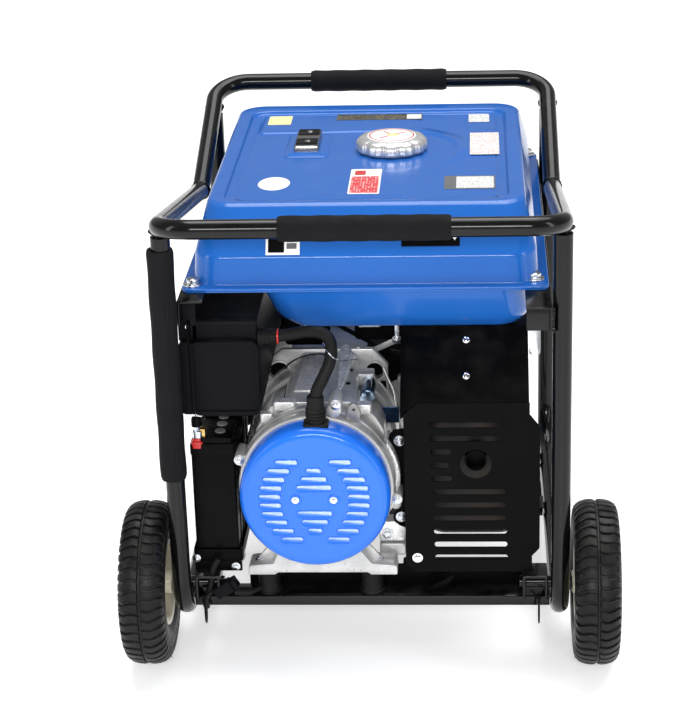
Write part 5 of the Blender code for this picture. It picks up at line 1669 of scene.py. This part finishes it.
def make_cowls():
    """Black sheet cowls over the barrel, with bolts, brackets and bright edges."""
    sheet = [slanted_block((0.088, 0.19), (-0.053, -0.0505), (0.01, 0.062), 0.0008),
            slanted_block((0.1, 0.185), (-0.056, -0.053), (0.022, 0.05), 0.0012),
            slanted_block((0.088, 0.19), (-0.053, 0.083), (0.06, 0.0615), 0.0005)]
    settle(sheet, "barrel_cowl", "satin_black")
    bits = [slanted_block((0.06, 0.095), (-0.079, -0.0735), (0.07, 0.086), 0.0015),
            slanted_block((0.108, 0.14), (-0.06, -0.0565), (0.062, 0.07), 0.001),
            slanted_block((0.12, 0.128), (-0.07, -0.0565), (-0.006, 0.018), 0.0015),
            slanted_block((0.146, 0.176), (-0.062, -0.0565), (-0.012, 0.004), 0.0015)]
    settle(bits, "cowl_brackets", "cast")
    plates = [slab("y", (-0.026, 0.052), (0.379, 0.424), 0.006, (-0.064, -0.0625), 0.0005), slab("y",
            (-0.125, -0.06), (0.37, 0.415), 0.008, (-0.06, -0.0585), 0.0005)]
    settle(plates, "upper_baffles", "satin_black")
    strap = [slab("y", (-0.02, 0.01), (0.398, 0.404), 0.001, (-0.066, -0.064), 0.0004), slab("y",
            (0.03, 0.036), (0.376, 0.418), 0.001, (-0.068, -0.064), 0.0004)]
    settle(strap, "baffle_straps", "zinc")
    spots = [((0.03, -0.068, 0.412), -Y, 20), ((0.033, -0.068, 0.38), -Y, 50),
            ((-0.095, -0.06, 0.4), -Y, 5)]
    spots += [(slanted(0.11, -0.056, 0.04), -Y, 25), (slanted(0.17, -0.056, 0.04), -Y, 40)]
    fasten("cowl_bolts", hex_bolt(0.0042), spots)


def make_carburettor():
    """Carburettor body with its throat, float bowl, linkage and fuel hose."""
    body = [block((0.062, 0.0804, 0.347), (0.098, 0.1247, 0.383), 0.003), turned([(0.3215, 0),
            (0.3215, 0.0095), (0.3245, 0.0118), (0.344, 0.0118), (0.344, 0.0128), (0.348, 0.0128),
            (0.348, 0)], (0.08, 0.1026, 0), Z, 40), rod((0.08, 0.0804, 0.365), (0.08, 0.086, 0.365), 0.02,
            40, 0.001), rod((0.08, 0.119, 0.365), (0.08, 0.1247, 0.365), 0.02, 40, 0.001)]
    settle(body, "carburettor_body", "cast", replaces="carburettor")
    hose = wire([(0.07, 0.09, 0.348), (0.062, 0.07, 0.33), (0.068, 0.02, 0.345), (0.1, -0.01, 0.39),
            (0.145, -0.036, 0.428), (0.15, -0.04, 0.4365)], 0.0042, 16)
    settle(hose, "fuel_hose", "rubber")
    link = wire([(0.06, 0.096, 0.38), (0.04, 0.092, 0.386), (0.0, 0.085, 0.38), (-0.04, 0.08, 0.368)],
            0.0011, 8)
    settle(link, "throttle_link", "zinc")
    blade = joined([turned([(0.1003, 0), (0.1003, 0.005), (0.105, 0.005), (0.105, 0)], (0, 0.1026, 0.368),
            X, 32, 0.0005), slab("x", (0.099, 0.1062), (0.368, 0.392), 0.0034, (0.1012, 0.1034), 0.0004)])
    settle(blade, "choke_blade", "zinc", "choke", "choke_lever")


def make_air_cleaner():
    """Air cleaner: open box with its foam element, and a hinged cover with ribs and clips."""
    rings = []
    for x, inset in ((0.088, 0.008), (0.0892, 0.0068), (0.186, 0.0022), (0.1862, 0.0), (0.1897, 0.0),
            (0.1897, 0.003), (0.0912, 0.009)):
        flat = rounded_ring(0.125 + inset, 0.288 - inset, 0.318 + inset, 0.43 - inset, 0.016, x)
        rings.append(swap(flat, "zxy"))
    settle(loft(rings), "air_box", "moulded_black", replaces="air_cleaner_box")
    element = slab("x", (0.137, 0.276), (0.33, 0.418), 0.012, (0.0925, 0.185), 0.004)
    settle(element, "air_element", "foam")
    rings = []
    for x, inset in ((0.19, 0.0), (0.209, 0.0), (0.214, 0.001), (0.219, 0.004), (0.2225, 0.009),
            (0.224, 0.015), (0.225, 0.02)):
        flat = rounded_ring(0.124 + inset, 0.289 - inset, 0.317 + inset, 0.431 - inset, 0.018, x)
        rings.append(swap(flat, "zxy"))
    rings.append(swap(rounded_ring(0.146, 0.267, 0.339, 0.409, 0.01, 0.2235), "zxy"))
    bars = [loft(rings)]
    for k in range(5):
        z = 0.352 + k * 0.011
        bars.append(slab("x", (0.158, 0.255), (z - 0.0018, z + 0.0018), 0.0015, (0.2225, 0.2248), 0.0006))
    settle(bars, "air_cover", "moulded_black", "air_lid", "air_cleaner_cover")
    clips = []
    for y in (0.165, 0.248):
        clips.append(slab("x", (y - 0.007, y + 0.007), (0.427, 0.4335), 0.0015, (0.178, 0.206), 0.0008))
    settle(clips, "air_cover_clips", "zinc", "air_lid")
    elbow = wire([(0.0895, 0.16, 0.372), (0.083, 0.146, 0.367), (0.08, 0.134, 0.3655),
            (0.08, 0.1252, 0.365)], 0.015, 28)
    settle(elbow, "intake_elbow", "rubber")


CORD_SECTOR = (0.55, 1.25)  # radians round the shaft, left plain for the cord hole


def make_recoil():
    """Fan shroud, slotted recoil cover, its screws and the rope grip."""
    shroud = turned([(0.1187, 0.1155), (0.1187, 0.118), (0.174, 0.118), (0.176, 0.115), (0.176, 0.06),
            (0.1735, 0.06), (0.1735, 0.1145)], SHAFT, Y, 96, 0.0014)
    settle(shroud, "shroud_pressing", "satin_black", replaces="fan_shroud")
    cover = turned([(0.2122, 0), (0.2122, 0.079), (0.2105, 0.0885), (0.204, 0.0955), (0.1765, 0.0955),
            (0.1765, 0.098), (0.205, 0.098), (0.2125, 0.09), (0.2145, 0.08), (0.2145, 0.046),
            (0.2128, 0.043), (0.2128, 0.0)], SHAFT, Y, 96, 0.0014)
    holes = []
    for ring_radius, count in ((0.072, 22), (0.059, 18)):
        for k in range(count):
            turn = 2 * math.pi * k / count
            if CORD_SECTOR[0] < turn < CORD_SECTOR[1]:
                continue
            hole = slab("y", (ring_radius - 0.005, ring_radius + 0.005), (-0.0026, 0.0026), 0.0022,
                    (0.2, 0.22), corner=3)
            holes.append(on_shaft(hole, -turn))
    for k in range(18):
        turn = 2 * math.pi * (k + 0.5) / 18
        hole = slab("y", (0.09, 0.104), (-0.0045, 0.0045), 0.002, (0.184, 0.198), corner=3)
        holes.append(on_shaft(hole, -turn))
    x, z = SHAFT_X + 0.04, SHAFT_Z + 0.05
    holes.append(rod((x, 0.19, z), (x, 0.23, z), 0.005, 32))
    cut(cover, joined(holes))
    settle(cover, "recoil_pressing", "satin_black", replaces="recoil_cover", sharp=38)
    eyelet = turned([(0.2118, 0.0036), (0.2118, 0.0085), (0.2148, 0.008), (0.2151, 0.006), (0.214, 0.0036)],
            (x, 0, z), Y, 32, 0.0006)
    settle(eyelet, "cord_eyelet", "zinc")
    spots = []
    for k in range(3):
        turn = math.radians(30 + 120 * k)
        spots.append((SHAFT + Vector((math.cos(turn) * 0.108, 0.1758, math.sin(turn) * 0.108)), Y, 14 * k))
    fasten("shroud_bolts", hex_bolt(0.0042), spots)
    grip = [slab("y", (x - 0.036, x + 0.036), (z - 0.0088, z + 0.0088), 0.008, (0.2152, 0.2358), 0.004)]
    for k in range(7):
        start = x - 0.027 + k * 0.009
        grip.append(slab("y", (start - 0.0012, start + 0.0012), (z - 0.0072, z + 0.0072), 0.001,
                (0.234, 0.2362), 0.0005))
    settle(grip, "rope_grip", "moulded_black", "pull", "pull_grip")
    settle(rod((x, 0.179, z), (x, 0.225, z), 0.0024, 16), "pull_cord", "grey_plastic", "pull")


STARTER_X, STARTER_Z, SOLENOID_Z = -0.1985, 0.268, 0.317


def make_starter():
    """Starter motor with its solenoid, lead and end bolts."""
    body = turned([(-0.045, 0), (-0.045, 0.02), (-0.0425, 0.03), (-0.038, 0.0336), (-0.02, 0.034),
            (-0.0195, 0.0332), (0.045, 0.0332), (0.0455, 0.034), (0.062, 0.034), (0.066, 0.03),
            (0.112, 0.03), (0.112, 0)], (STARTER_X, 0, STARTER_Z), Y, 64)
    settle(body, "starter_case", "satin_black", replaces="starter_motor")
    coil = turned([(-0.03, 0), (-0.03, 0.015), (0.034, 0.015), (0.034, 0)], (STARTER_X, 0, SOLENOID_Z), Y,
            40, 0.002)
    settle(coil, "starter_solenoid", "zinc")
    post = rod((STARTER_X, -0.03, SOLENOID_Z), (STARTER_X, -0.042, SOLENOID_Z), 0.003, 16, 0.0004)
    settle(post, "solenoid_post", "brass")
    lead = wire([(STARTER_X, -0.04, SOLENOID_Z), (-0.199, -0.058, 0.3185), (-0.203, -0.08, 0.326),
            (-0.218, -0.104, 0.333), (-0.221, -0.112, 0.3325)], 0.0042, 16)
    settle(lead, "starter_lead", "copper_lead")
    spots = [((STARTER_X + 0.022 * math.cos(a), -0.044, STARTER_Z + 0.022 * math.sin(a)), -Y, 10)
            for a in (0.5, 3.64)]
    fasten("starter_bolts", hex_bolt(0.0036), spots)


OUTLET = (0.1417, 0, 0.2886)


def make_muffler():
    """Silencer can with rolled seams, outlet pipe with a spark screen, and the pipe to the head."""
    rows = ((-0.238, 0.018), (-0.2372, 0.012), (-0.2345, 0.006), (-0.23, 0.0016), (-0.227, 0.0),
            (-0.136, 0.0), (-0.133, 0.0016), (-0.1285, 0.006), (-0.1258, 0.012), (-0.125, 0.018))
    rings = [swap(rounded_ring(0.068 + i, 0.205 - i, 0.16 + i, 0.352 - i, 0.032, y), "xzy") for y,
            i in rows]
    seam = [swap(rounded_ring(0.0675 + i, 0.2055 - i, 0.1595 + i, 0.3525 - i, 0.0325, y), "xzy") for y,
            i in ((-0.1835, 0.001), (-0.1825, -0.002), (-0.1805, -0.002), (-0.1795, 0.001))]
    can = joined([loft(rings), loft(seam)])
    settle(can, "silencer_can", "dark_steel", replaces="muffler", sharp=40)
    pipe = turned([(-0.2755, 0.0125), (-0.2755, 0.0145), (-0.235, 0.0145), (-0.235, 0.02), (-0.2335, 0.02),
            (-0.2335, 0.0125)], OUTLET, Y, 48, 0.0007)
    settle(pipe, "outlet_tube", "satin_black")
    screen = turned([(-0.26, 0), (-0.26, 0.0124), (-0.259, 0.0124), (-0.259, 0)], OUTLET, Y, 32)
    settle(screen, "spark_screen", "satin_black")
    inlet = wire([(0.092, -0.13, 0.325), (0.092, -0.1, 0.325), (0.092, -0.07, 0.325),
            (0.092, -0.0485, 0.325)], 0.0155, 32)
    settle(inlet, "exhaust_pipe", "heated_steel")
    flange = slab("y", (0.066, 0.118), (0.307, 0.343), 0.008, (-0.058, -0.05), 0.001)
    settle(flange, "exhaust_flange", "steel")
    fasten("exhaust_nuts", hex_bolt(0.005), [((0.073, -0.058, 0.325), -Y, 7),
            ((0.111, -0.058, 0.325), -Y, 33)])


def make_guards():
    """Slotted heat guard and the folded shield above it."""
    x0, x1, z0, z1, cut_off = 0.0475, 0.2257, 0.131, 0.3762, 0.0125
    face = [(x0 + cut_off, z0), (x1 - cut_off, z0), (x1 - 0.01, z0 + 0.004), (x1 - 0.01, z0 + 0.0235),
            (x1, z0 + 0.035), (x1, z1 - 0.034), (x1 - 0.0135, z1 - 0.0165), (x1 - 0.0135, z1),
            (x0 + 0.02, z1), (x0, z1 - 0.0165), (x0, z0 + cut_off)]
    plate = prism(face, "y", -0.2866, -0.285, 0.0)
    slots = []
    for k in range(11):
        z = 0.3449 - 0.01922 * k
        short = k in (2, 3, 4)
        start = 0.081 + 0.0006 * k
        end = (0.11, 0.106, 0.11)[k - 2] if short else start + 0.0965
        slots.append(slab("y", (start, end), (z - 0.0037, z + 0.0037), 0.0036, (-0.3, -0.27), corner=6))
    slots.append(rod((OUTLET[0], -0.3, OUTLET[2]), (OUTLET[0], -0.27, OUTLET[2]), 0.0208, 64))
    cut(plate, joined(slots))
    ease_edges(plate, 0.0004, 1, 40)
    pieces = [plate]
    for x in (x0, x1 - 0.0015):
        top = z1 - 0.036 if x > 0.1 else z1 - 0.0165
        foot = z0 + 0.036 if x > 0.1 else z0 + cut_off
        pieces.append(block((x, -0.2862, foot), (x + 0.0015, -0.245, top), 0.0004))
    settle(pieces, "guard_pressing", "satin_black", replaces="guard_lower", sharp=35)
    low_y, low_z = -0.2838, 0.377
    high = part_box("guard_upper")[1].z
    high_y = -0.2
    rows = []
    for y, z, drop in ((low_y - 0.0002, 0.369, 0.02), (low_y, low_z, 0.016), (high_y, high, 0.0),
            (-0.14, high, 0.0)):
        rows.append([(0.043, y + 0.01, z - drop), (0.07, y, z), (0.2114, y, z),
                (0.2114, y + 0.0016, z - 0.0012), (0.0706, y + 0.0016, z - 0.0012),
                (0.0436, y + 0.0116, z - drop - 0.0012)])
    settle(ease_edges(loft(rows), 0.0005, 2), "shield_pressing", "satin_black", replaces="guard_upper",
            sharp=28)
    slope = Vector((0, high_y - low_y, high - low_z)).normalized()
    out = Vector((0, -slope.z, slope.y))
    spots = []
    for z in (0.4362, 0.4012):
        t = (z - low_z) / (high - low_z)
        spots.append((Vector((0.13, low_y + (high_y - low_y) * t, z)) + out * 0.0003, out, 30))
    fasten("shield_screws", cross_screw(0.0058), spots, "chrome")
    fasten("guard_screws", hex_bolt(0.0043), [((0.0632, -0.2867, 0.1525), -Y, 12)], "chrome")
    clip = slab("y", (0.2125, 0.227), (0.418, 0.456), 0.004, (-0.225, -0.2235), 0.0005)
    settle(clip, "shield_clip", "zinc")


def make_engine():
    """The whole engine, its dipstick and the four rubber mounts."""
    make_crankcase()
    make_crankshaft()
    make_cylinder()
    make_cowls()
    make_carburettor()
    make_air_cleaner()
    make_recoil()
    make_starter()
    make_muffler()
    make_guards()
    stick = turned([(-0.1583, 0), (-0.1583, 0.0112), (-0.162, 0.0112), (-0.1628, 0.015), (-0.1712, 0.0146),
            (-0.173, 0.012), (-0.173, 0)], (0, 0.09, 0.178), X, 48, 0.0008)
    ribs = [stick]
    for k in range(16):
        angle = 2 * math.pi * k / 16
        place = Vector((0, 0.09 + 0.0146 * math.cos(angle), 0.178 + 0.0146 * math.sin(angle)))
        ribs.append(rod(place - X * 0.1635, place - X * 0.171, 0.0013, 10))
    settle(ribs, "dipstick_knob", "red_plastic", "oil_plug", "dipstick")
    for name in ("mount_near_left", "mount_near_right", "mount_mid_left", "mount_mid_right"):
        low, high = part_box(name)
        x, y = (low.x + high.x) / 2, (low.y + high.y) / 2
        mid = (low.z + high.z) / 2
        profile = [(low.z, 0), (low.z, 0.0172), (low.z + 0.003, 0.0172), (low.z + 0.0035, 0.016),
                (mid, 0.0145), (high.z - 0.0035, 0.016), (high.z - 0.003, 0.0172), (high.z, 0.0172),
                (high.z, 0)]
        settle(turned(profile, (x, y, 0), Z, 48), name + "_block", "rubber", replaces=name)


# ---------------------------------------------------------------- controls and battery


def make_control_box():
    """Moulded box with a stepped near end, a framed end face and screw lugs."""
    low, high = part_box("control_box")
    body = [slab("x", (low.y + 0.012, high.y), (low.z, high.z), 0.008, (low.x, high.x), 0.003), slab("y",
            (low.x, high.x), (low.z, 0.4575), 0.008, (low.y + 0.0022, low.y + 0.03), 0.0035)]
    rim = slab("y", (low.x + 0.0005, high.x - 0.0005), (low.z + 0.0005, 0.457), 0.008,
            (low.y, low.y + 0.004), 0.001)
    cut(rim, slab("y", (low.x + 0.003, high.x - 0.003), (low.z + 0.0065, 0.4545), 0.005,
            (low.y - 0.01, low.y + 0.01)))
    settle(body + [rim], "control_box_moulding", "moulded_black", replaces="control_box")
    wing = slab("y", (-0.244, low.x + 0.003), (low.z + 0.002, 0.4565), 0.006,
            (low.y + 0.0008, low.y + 0.0135), 0.001)
    upper = slab("y", (-0.244, -0.22), (0.454, 0.509), 0.003, (low.y + 0.012, low.y + 0.0135), 0.0005)
    settle([wing, upper], "panel_wing", "moulded_black")
    lug = slab("z", (-0.23, -0.217), (-0.265, -0.25), 0.003, (0.349, 0.3535), 0.0008)
    settle(lug, "box_lugs", "zinc")


PANEL_FACE = -0.2318


def socket_face(y, z, name):
    """A round power socket with its slots, in a square flange."""
    flange = slab("x", (y - 0.0245, y + 0.0245), (z - 0.0235, z + 0.0235), 0.005, (-0.2328, PANEL_FACE),
            0.0004)
    settle(flange, name + "_flange", "grey_plastic")
    dish = turned([(-0.2331, 0), (-0.2331, 0.0185), (-0.2326, 0.019), (-0.2322, 0.0)], (0, y, z), X, 40,
            0.0004)
    settle(dish, name + "_dish", "smooth_black")
    pins = []
    for a in (90, 210, 330):
        turn = math.radians(a)
        p = Vector((-0.2332, y + 0.0085 * math.cos(turn), z + 0.0085 * math.sin(turn)))
        pins.append(rod(p, p + X * 0.0008, 0.0024, 20))
    settle(pins, name + "_contacts", "brass")


def make_control_panel():
    """Side panel: two lidded sockets, voltmeter, breaker, key switch, terminals and printed fields."""
    low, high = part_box("control_panel")
    rings = [swap(rounded_ring(low.y + i, high.y - i, low.z + i, high.z - i, 0.008, x), "zxy") for x,
            i in ((high.x, 0.0), (low.x + 0.0012, 0.0), (low.x + 0.0003, 0.0005), (low.x, 0.0016))]
    settle(loft(rings), "panel_moulding", "satin_black", replaces="control_panel")
    field = slab("x", (low.y + 0.01, high.y - 0.01), (low.z + 0.008, high.z - 0.008), 0.004,
            (low.x - 0.0003, low.x + 0.0002))
    settle(field, "panel_print", "grey_label")
    spots = []
    for y in (low.y + 0.008, high.y - 0.008):
        for z in (low.z + 0.008, high.z - 0.008):
            spots.append(((low.x - 0.0001, y, z), -X, 20))
    fasten("panel_screws", cross_screw(0.0034), spots, "chrome")
    for node, body, y in (("socket_lid_near", "lid_near", -0.21), ("socket_lid_far", "lid_far", -0.135)):
        socket_face(y, 0.41, node.replace("lid", "face"))
        lid = slab("x", (y - 0.0258, y + 0.0258), (0.3842, 0.4358), 0.006, (-0.239, -0.2336), 0.0018)
        boss = turned([(-0.2392, 0), (-0.2392, 0.0165), (-0.2384, 0.0175), (-0.2384, 0)], (0, y, 0.409), X,
                40, 0.0003)
        lip = slab("x", (y - 0.009, y + 0.009), (0.382, 0.385), 0.001, (-0.239, -0.2352), 0.0008)
        settle([lid, boss, lip], node + "_flap", "moulded_black", body, node)
        pin = rod((-0.236, y - 0.0255, 0.4372), (-0.236, y + 0.0255, 0.4372), 0.0013, 12)
        settle(pin, node + "_pin", "zinc")
    meter = slab("x", (-0.09, -0.04), (0.43, 0.47), 0.004, (-0.2365, PANEL_FACE), 0.0012)
    settle(meter, "voltmeter_case", "smooth_black")
    dial = slab("x", (-0.086, -0.044), (0.438, 0.467), 0.003, (-0.2369, -0.2364))
    settle(dial, "voltmeter_dial", "white_label")
    marks = []
    for k in range(9):
        turn = math.radians(35 + 110 * k / 8)
        foot = Vector((-0.2371, -0.065 + 0.018 * math.cos(turn), 0.44 + 0.018 * math.sin(turn)))
        tip = Vector((-0.2371, -0.065 + 0.021 * math.cos(turn), 0.44 + 0.021 * math.sin(turn)))
        marks.append(rod(foot, tip, 0.0003, 6))
    marks.append(rod((-0.2371, -0.065, 0.4405), (-0.2371, -0.073, 0.459), 0.0004, 6))
    settle(marks, "voltmeter_marks", "smooth_black")
    surround = slab("x", (0.001, 0.039), (0.386, 0.424), 0.003, (-0.2345, PANEL_FACE), 0.0008)
    settle(surround, "breaker_frame", "grey_plastic")
    toggle = turned([(-0.248, 0), (-0.248, 0.0024), (-0.247, 0.003), (-0.2345, 0.0036), (-0.2345, 0)],
            (0, 0.02, 0.405), X, 32, 0.0008)
    settle(toggle, "breaker_toggle", "chrome", "breaker", "breaker_lever")
    nut = turned([(-0.2362, 0.0064), (-0.2362, 0.0084), (-0.2345, 0.0086), (-0.2345, 0.0064)],
            (0, 0.02, 0.405), X, 32, 0.0004)
    settle(nut, "breaker_nut", "zinc")
    bezel = turned([(-0.234, 0.01), (-0.234, 0.0145), (PANEL_FACE, 0.015), (PANEL_FACE, 0.01)],
            (0, 0.09, 0.41), X, 48, 0.0005)
    settle(bezel, "key_bezel", "chrome")
    key = [turned([(-0.2435, 0), (-0.2435, 0.0082), (-0.242, 0.0088), (-0.2322, 0.0094), (-0.2322, 0)],
            (0, 0.09, 0.41), X, 40, 0.0006), slab("x", (0.0885, 0.0915), (0.4005, 0.4195), 0.0012,
            (-0.253, -0.242), 0.0006)]
    settle(key, "key_barrel", "smooth_black", "key", "key_switch")
    for k, y in enumerate((-0.03, -0.008)):
        post = turned([(-0.242, 0), (-0.242, 0.005), (-0.241, 0.0058), (-0.234, 0.0058),
                (PANEL_FACE, 0.007), (PANEL_FACE, 0)], (0, y, 0.372), X, 24, 0.0006)
        settle(post, "terminal_%d" % k, ("red_plastic", "smooth_black")[k])
    lamp = turned([(-0.2352, 0), (-0.2348, 0.0032), (PANEL_FACE, 0.004), (PANEL_FACE, 0)], (0, 0.06, 0.455),
            X, 24, 0.0005)
    settle(lamp, "oil_lamp", "red_plastic")


def make_battery():
    """Battery with a ribbed case, stepped lid, terminals, leads, strap and tray."""
    low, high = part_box("battery")
    x0, x1, y0, y1 = low.x + 0.0008, high.x - 0.0008, low.y + 0.0008, high.y - 0.0008
    case = [slab("z", (x0 + 0.001, x1 - 0.001), (y0 + 0.001, y1 - 0.001), 0.003, (low.z, 0.297), 0.001),
            slab("z", (x0, x1), (y0, y1), 0.003, (0.2965, 0.312), 0.0015), slab("z",
            (x0 + 0.012, x1 - 0.003), (y0 + 0.003, y1 - 0.003), 0.004, (0.31, 0.3198), 0.0015)]
    for k in range(5):
        y = y0 + 0.028 + k * 0.029
        case.append(slab("z", (x0 - 0.0004, x1 + 0.0004), (y - 0.002, y + 0.002), 0.0006, (0.16, 0.29),
                0.0006))
    settle(case, "battery_case", "smooth_black", replaces="battery")
    caps = []
    for k in range(6):
        y = y0 + 0.026 + k * 0.024
        caps.append(turned([(0.319, 0), (0.319, 0.0075), (0.3215, 0.0072), (0.322, 0.0)], (-0.198, y, 0), Z,
                24, 0.0006))
    settle(caps, "battery_caps", "grey_plastic")
    posts = [block((-0.228, y - 0.006, 0.312), (-0.216, y + 0.006, 0.3308), 0.001)
            for y in (-0.258, -0.112)]
    settle(posts, "battery_posts", "brass")
    cover = joined([slab("z", (-0.235, -0.219), (-0.2715, -0.256), 0.004, (0.305, 0.315), 0.002), slab("z",
            (-0.233, -0.221), (-0.269, -0.258), 0.003, (0.314, 0.319), 0.0015)])
    settle(cover, "terminal_cover", "red_plastic")
    ring_tongue = joined([slab("z", (-0.233, -0.22), (-0.269, -0.256), 0.004, (0.3185, 0.329), 0.002),
            rod((-0.227, -0.2625, 0.328), (-0.227, -0.2625, 0.336), 0.0042, 6, 0.0004)])
    settle(ring_tongue, "terminal_clamp", "zinc")
    boot = slab("z", (-0.2335, -0.2205), (-0.269, -0.257), 0.004, (0.335, 0.348), 0.002)
    settle(boot, "terminal_boot", "smooth_black")
    lead = wire([(-0.227, -0.261, 0.345), (-0.218, -0.256, 0.35), (-0.195, -0.245, 0.347),
            (-0.175, -0.2, 0.34), (-0.185, -0.13, 0.338)], 0.004, 14)
    settle(lead, "battery_lead", "rubber")
    refined("battery_clamp", "satin_black", 0.0003, 1)
    refined("battery_tray", "satin_black", 0.0006)
    shelf = [slab("y", (-0.2385, -0.1745), (0.1255, 0.14), 0.002, (-0.2725, -0.27), 0.0005), slab("y",
            (-0.235, -0.205), (0.108, 0.127), 0.003, (-0.269, -0.2665), 0.0005)]
    settle(shelf, "tray_apron", "satin_black")
    bolt = [((-0.236, -0.2727, 0.145), -Y, 10), ((-0.183, -0.2727, 0.1325), -Y, 10)]
    fasten("tray_bolts", hex_bolt(0.0036), bolt)


TIE_X = 0.2251


def make_harness():
    """Connector block, loom and cable ties near the left foot of the alternator."""
    connector = joined([slab("x", (-0.299, -0.282), (0.1, 0.118), 0.003, (-0.212, -0.186), 0.0015),
            slab("x", (-0.2975, -0.2835), (0.1015, 0.1165), 0.002, (-0.186, -0.178), 0.001)])
    centre = Vector((-0.1976, -0.29, 0.109))
    connector.data.transform(Matrix.Translation(centre) @ Matrix.Rotation(math.radians(-32), 4, "Y")
            @ Matrix.Translation(-centre))
    settle(connector, "connector_block", "moulded_black")
    loom = wire([(-0.205, -0.285, 0.15), (-0.212, -0.288, 0.138), (-0.215, -0.29, 0.12),
            (-0.219, -0.292, 0.105), (-0.2251, -0.288, 0.09), (-0.2251, -0.28, 0.075)], 0.0046, 16)
    settle(loom, "loom", "rubber")
    tail = wire([(-0.185, -0.288, 0.101), (-0.165, -0.284, 0.099), (-0.145, -0.27, 0.103),
            (-0.12, -0.24, 0.109)], 0.0036, 14)
    settle(tail, "loom_branch", "rubber")
    for k, side in enumerate((-1, 1)):
        x = side * TIE_X
        loop = [(x, -0.296, 0.0975), (x, -0.2968, 0.07), (x, -0.29, 0.056), (x, -0.282, 0.064),
                (x, -0.2815, 0.096)]
        band = joined([wire(loop, 0.0013, 8), slab("y", (x - 0.003, x + 0.003), (0.096, 0.101), 0.001,
                (-0.299, -0.293), 0.0006), wire([(x, -0.297, 0.098), (side * 0.22, -0.3, 0.104),
                (side * 0.214, -0.299, 0.11)], 0.001, 8)])
        settle(band, "cable_tie_%d" % k, "smooth_black")


def make_fuel_tap():
    """Red lever of the fuel tap under the tank."""
    low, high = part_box("fuel_tap_lever")
    x, y = 0.15, -0.04
    lever = joined([turned([(low.z, 0), (low.z, 0.0074), (low.z + 0.001, 0.008), (high.z, 0.008),
            (high.z, 0)], (x, y, 0), Z, 32, 0.0005), slab("z", (x - 0.0033, x + 0.0033), (y - 0.0358, y),
            0.003, (low.z + 0.0006, low.z + 0.0044), 0.001)])
    settle(lever, "tap_handle", "red_plastic", "tap", "fuel_tap_lever")


def make_controls():
    make_control_box()
    make_control_panel()
    make_battery()
    make_harness()
    make_fuel_tap()


# ---------------------------------------------------------------- stage


def make_stage():
    """Pale floor, pale surroundings, a broad soft sun and four softboxes."""
    bpy.ops.mesh.primitive_plane_add(size=60, location=(0, 0, FLOOR_Z - 0.0005))
    floor = take(bpy.context.object)
    floor.name = "studio_floor"
    mat, wiring, bsdf = shader("studio_floor")
    bsdf.inputs["Base Color"].default_value = (0.86, 0.86, 0.86, 1)
    bsdf.inputs["Emission Color"].default_value = (1, 1, 1, 1)
    bsdf.inputs["Emission Strength"].default_value = FLOOR_GLOW
    rough = wiring.spread(wiring.noise(6.0), 0.3, 0.7, 0.34, 0.4)
    wiring.tree.links.new(rough, bsdf.inputs["Roughness"])
    floor.data.materials.append(mat)
    world = bpy.data.worlds.new("studio")
    world.use_nodes = True
    back = world.node_tree.nodes["Background"]
    back.inputs["Color"].default_value = (1, 1, 1, 1)
    back.inputs["Strength"].default_value = SKY_GLOW
    bpy.context.scene.world = world
    sun = bpy.data.lights.new("broad_sun", "SUN")
    sun.energy = SUN_POWER
    sun.angle = math.radians(50)
    lamps = [("broad_sun", sun, (0.4, 0.9, 3.0), (0, 0, 0.3))]
    for name, place, aim, wide, tall, power in SOFTBOXES:
        data = bpy.data.lights.new(name, "AREA")
        data.shape = "RECTANGLE"
        data.size = wide
        data.size_y = tall
        data.energy = power
        lamps.append((name, data, place, aim))
    for name, data, place, aim in lamps:
        lamp = bpy.data.objects.new(name, data)
        lamp.location = place
        lamp.rotation_euler = (Vector(aim) - Vector(place)).to_track_quat("-Z", "Y").to_euler()
        bpy.context.scene.collection.objects.link(lamp)
    bpy.context.scene.view_settings.view_transform = "Standard"


LENS = 110.59
CAMERA_PLACE = (0.1455, -2.8568, 1.4664)
CAMERA_TURN = (68.133, 1.611, 3.026)


def make_camera():
    """Long lens from the alternator end, a little above the tank."""
    data = bpy.data.cameras.new("camera")
    data.sensor_fit = "HORIZONTAL"
    data.sensor_width = 36
    data.lens = LENS
    camera = bpy.data.objects.new("camera", data)
    camera.location = CAMERA_PLACE
    camera.rotation_euler = [math.radians(a) for a in CAMERA_TURN]
    bpy.context.scene.collection.objects.link(camera)
    bpy.context.scene.camera = camera


make_camera()
make_frame()
make_wheels()
make_tank()
make_alternator()
make_engine()
make_controls()
make_stage()
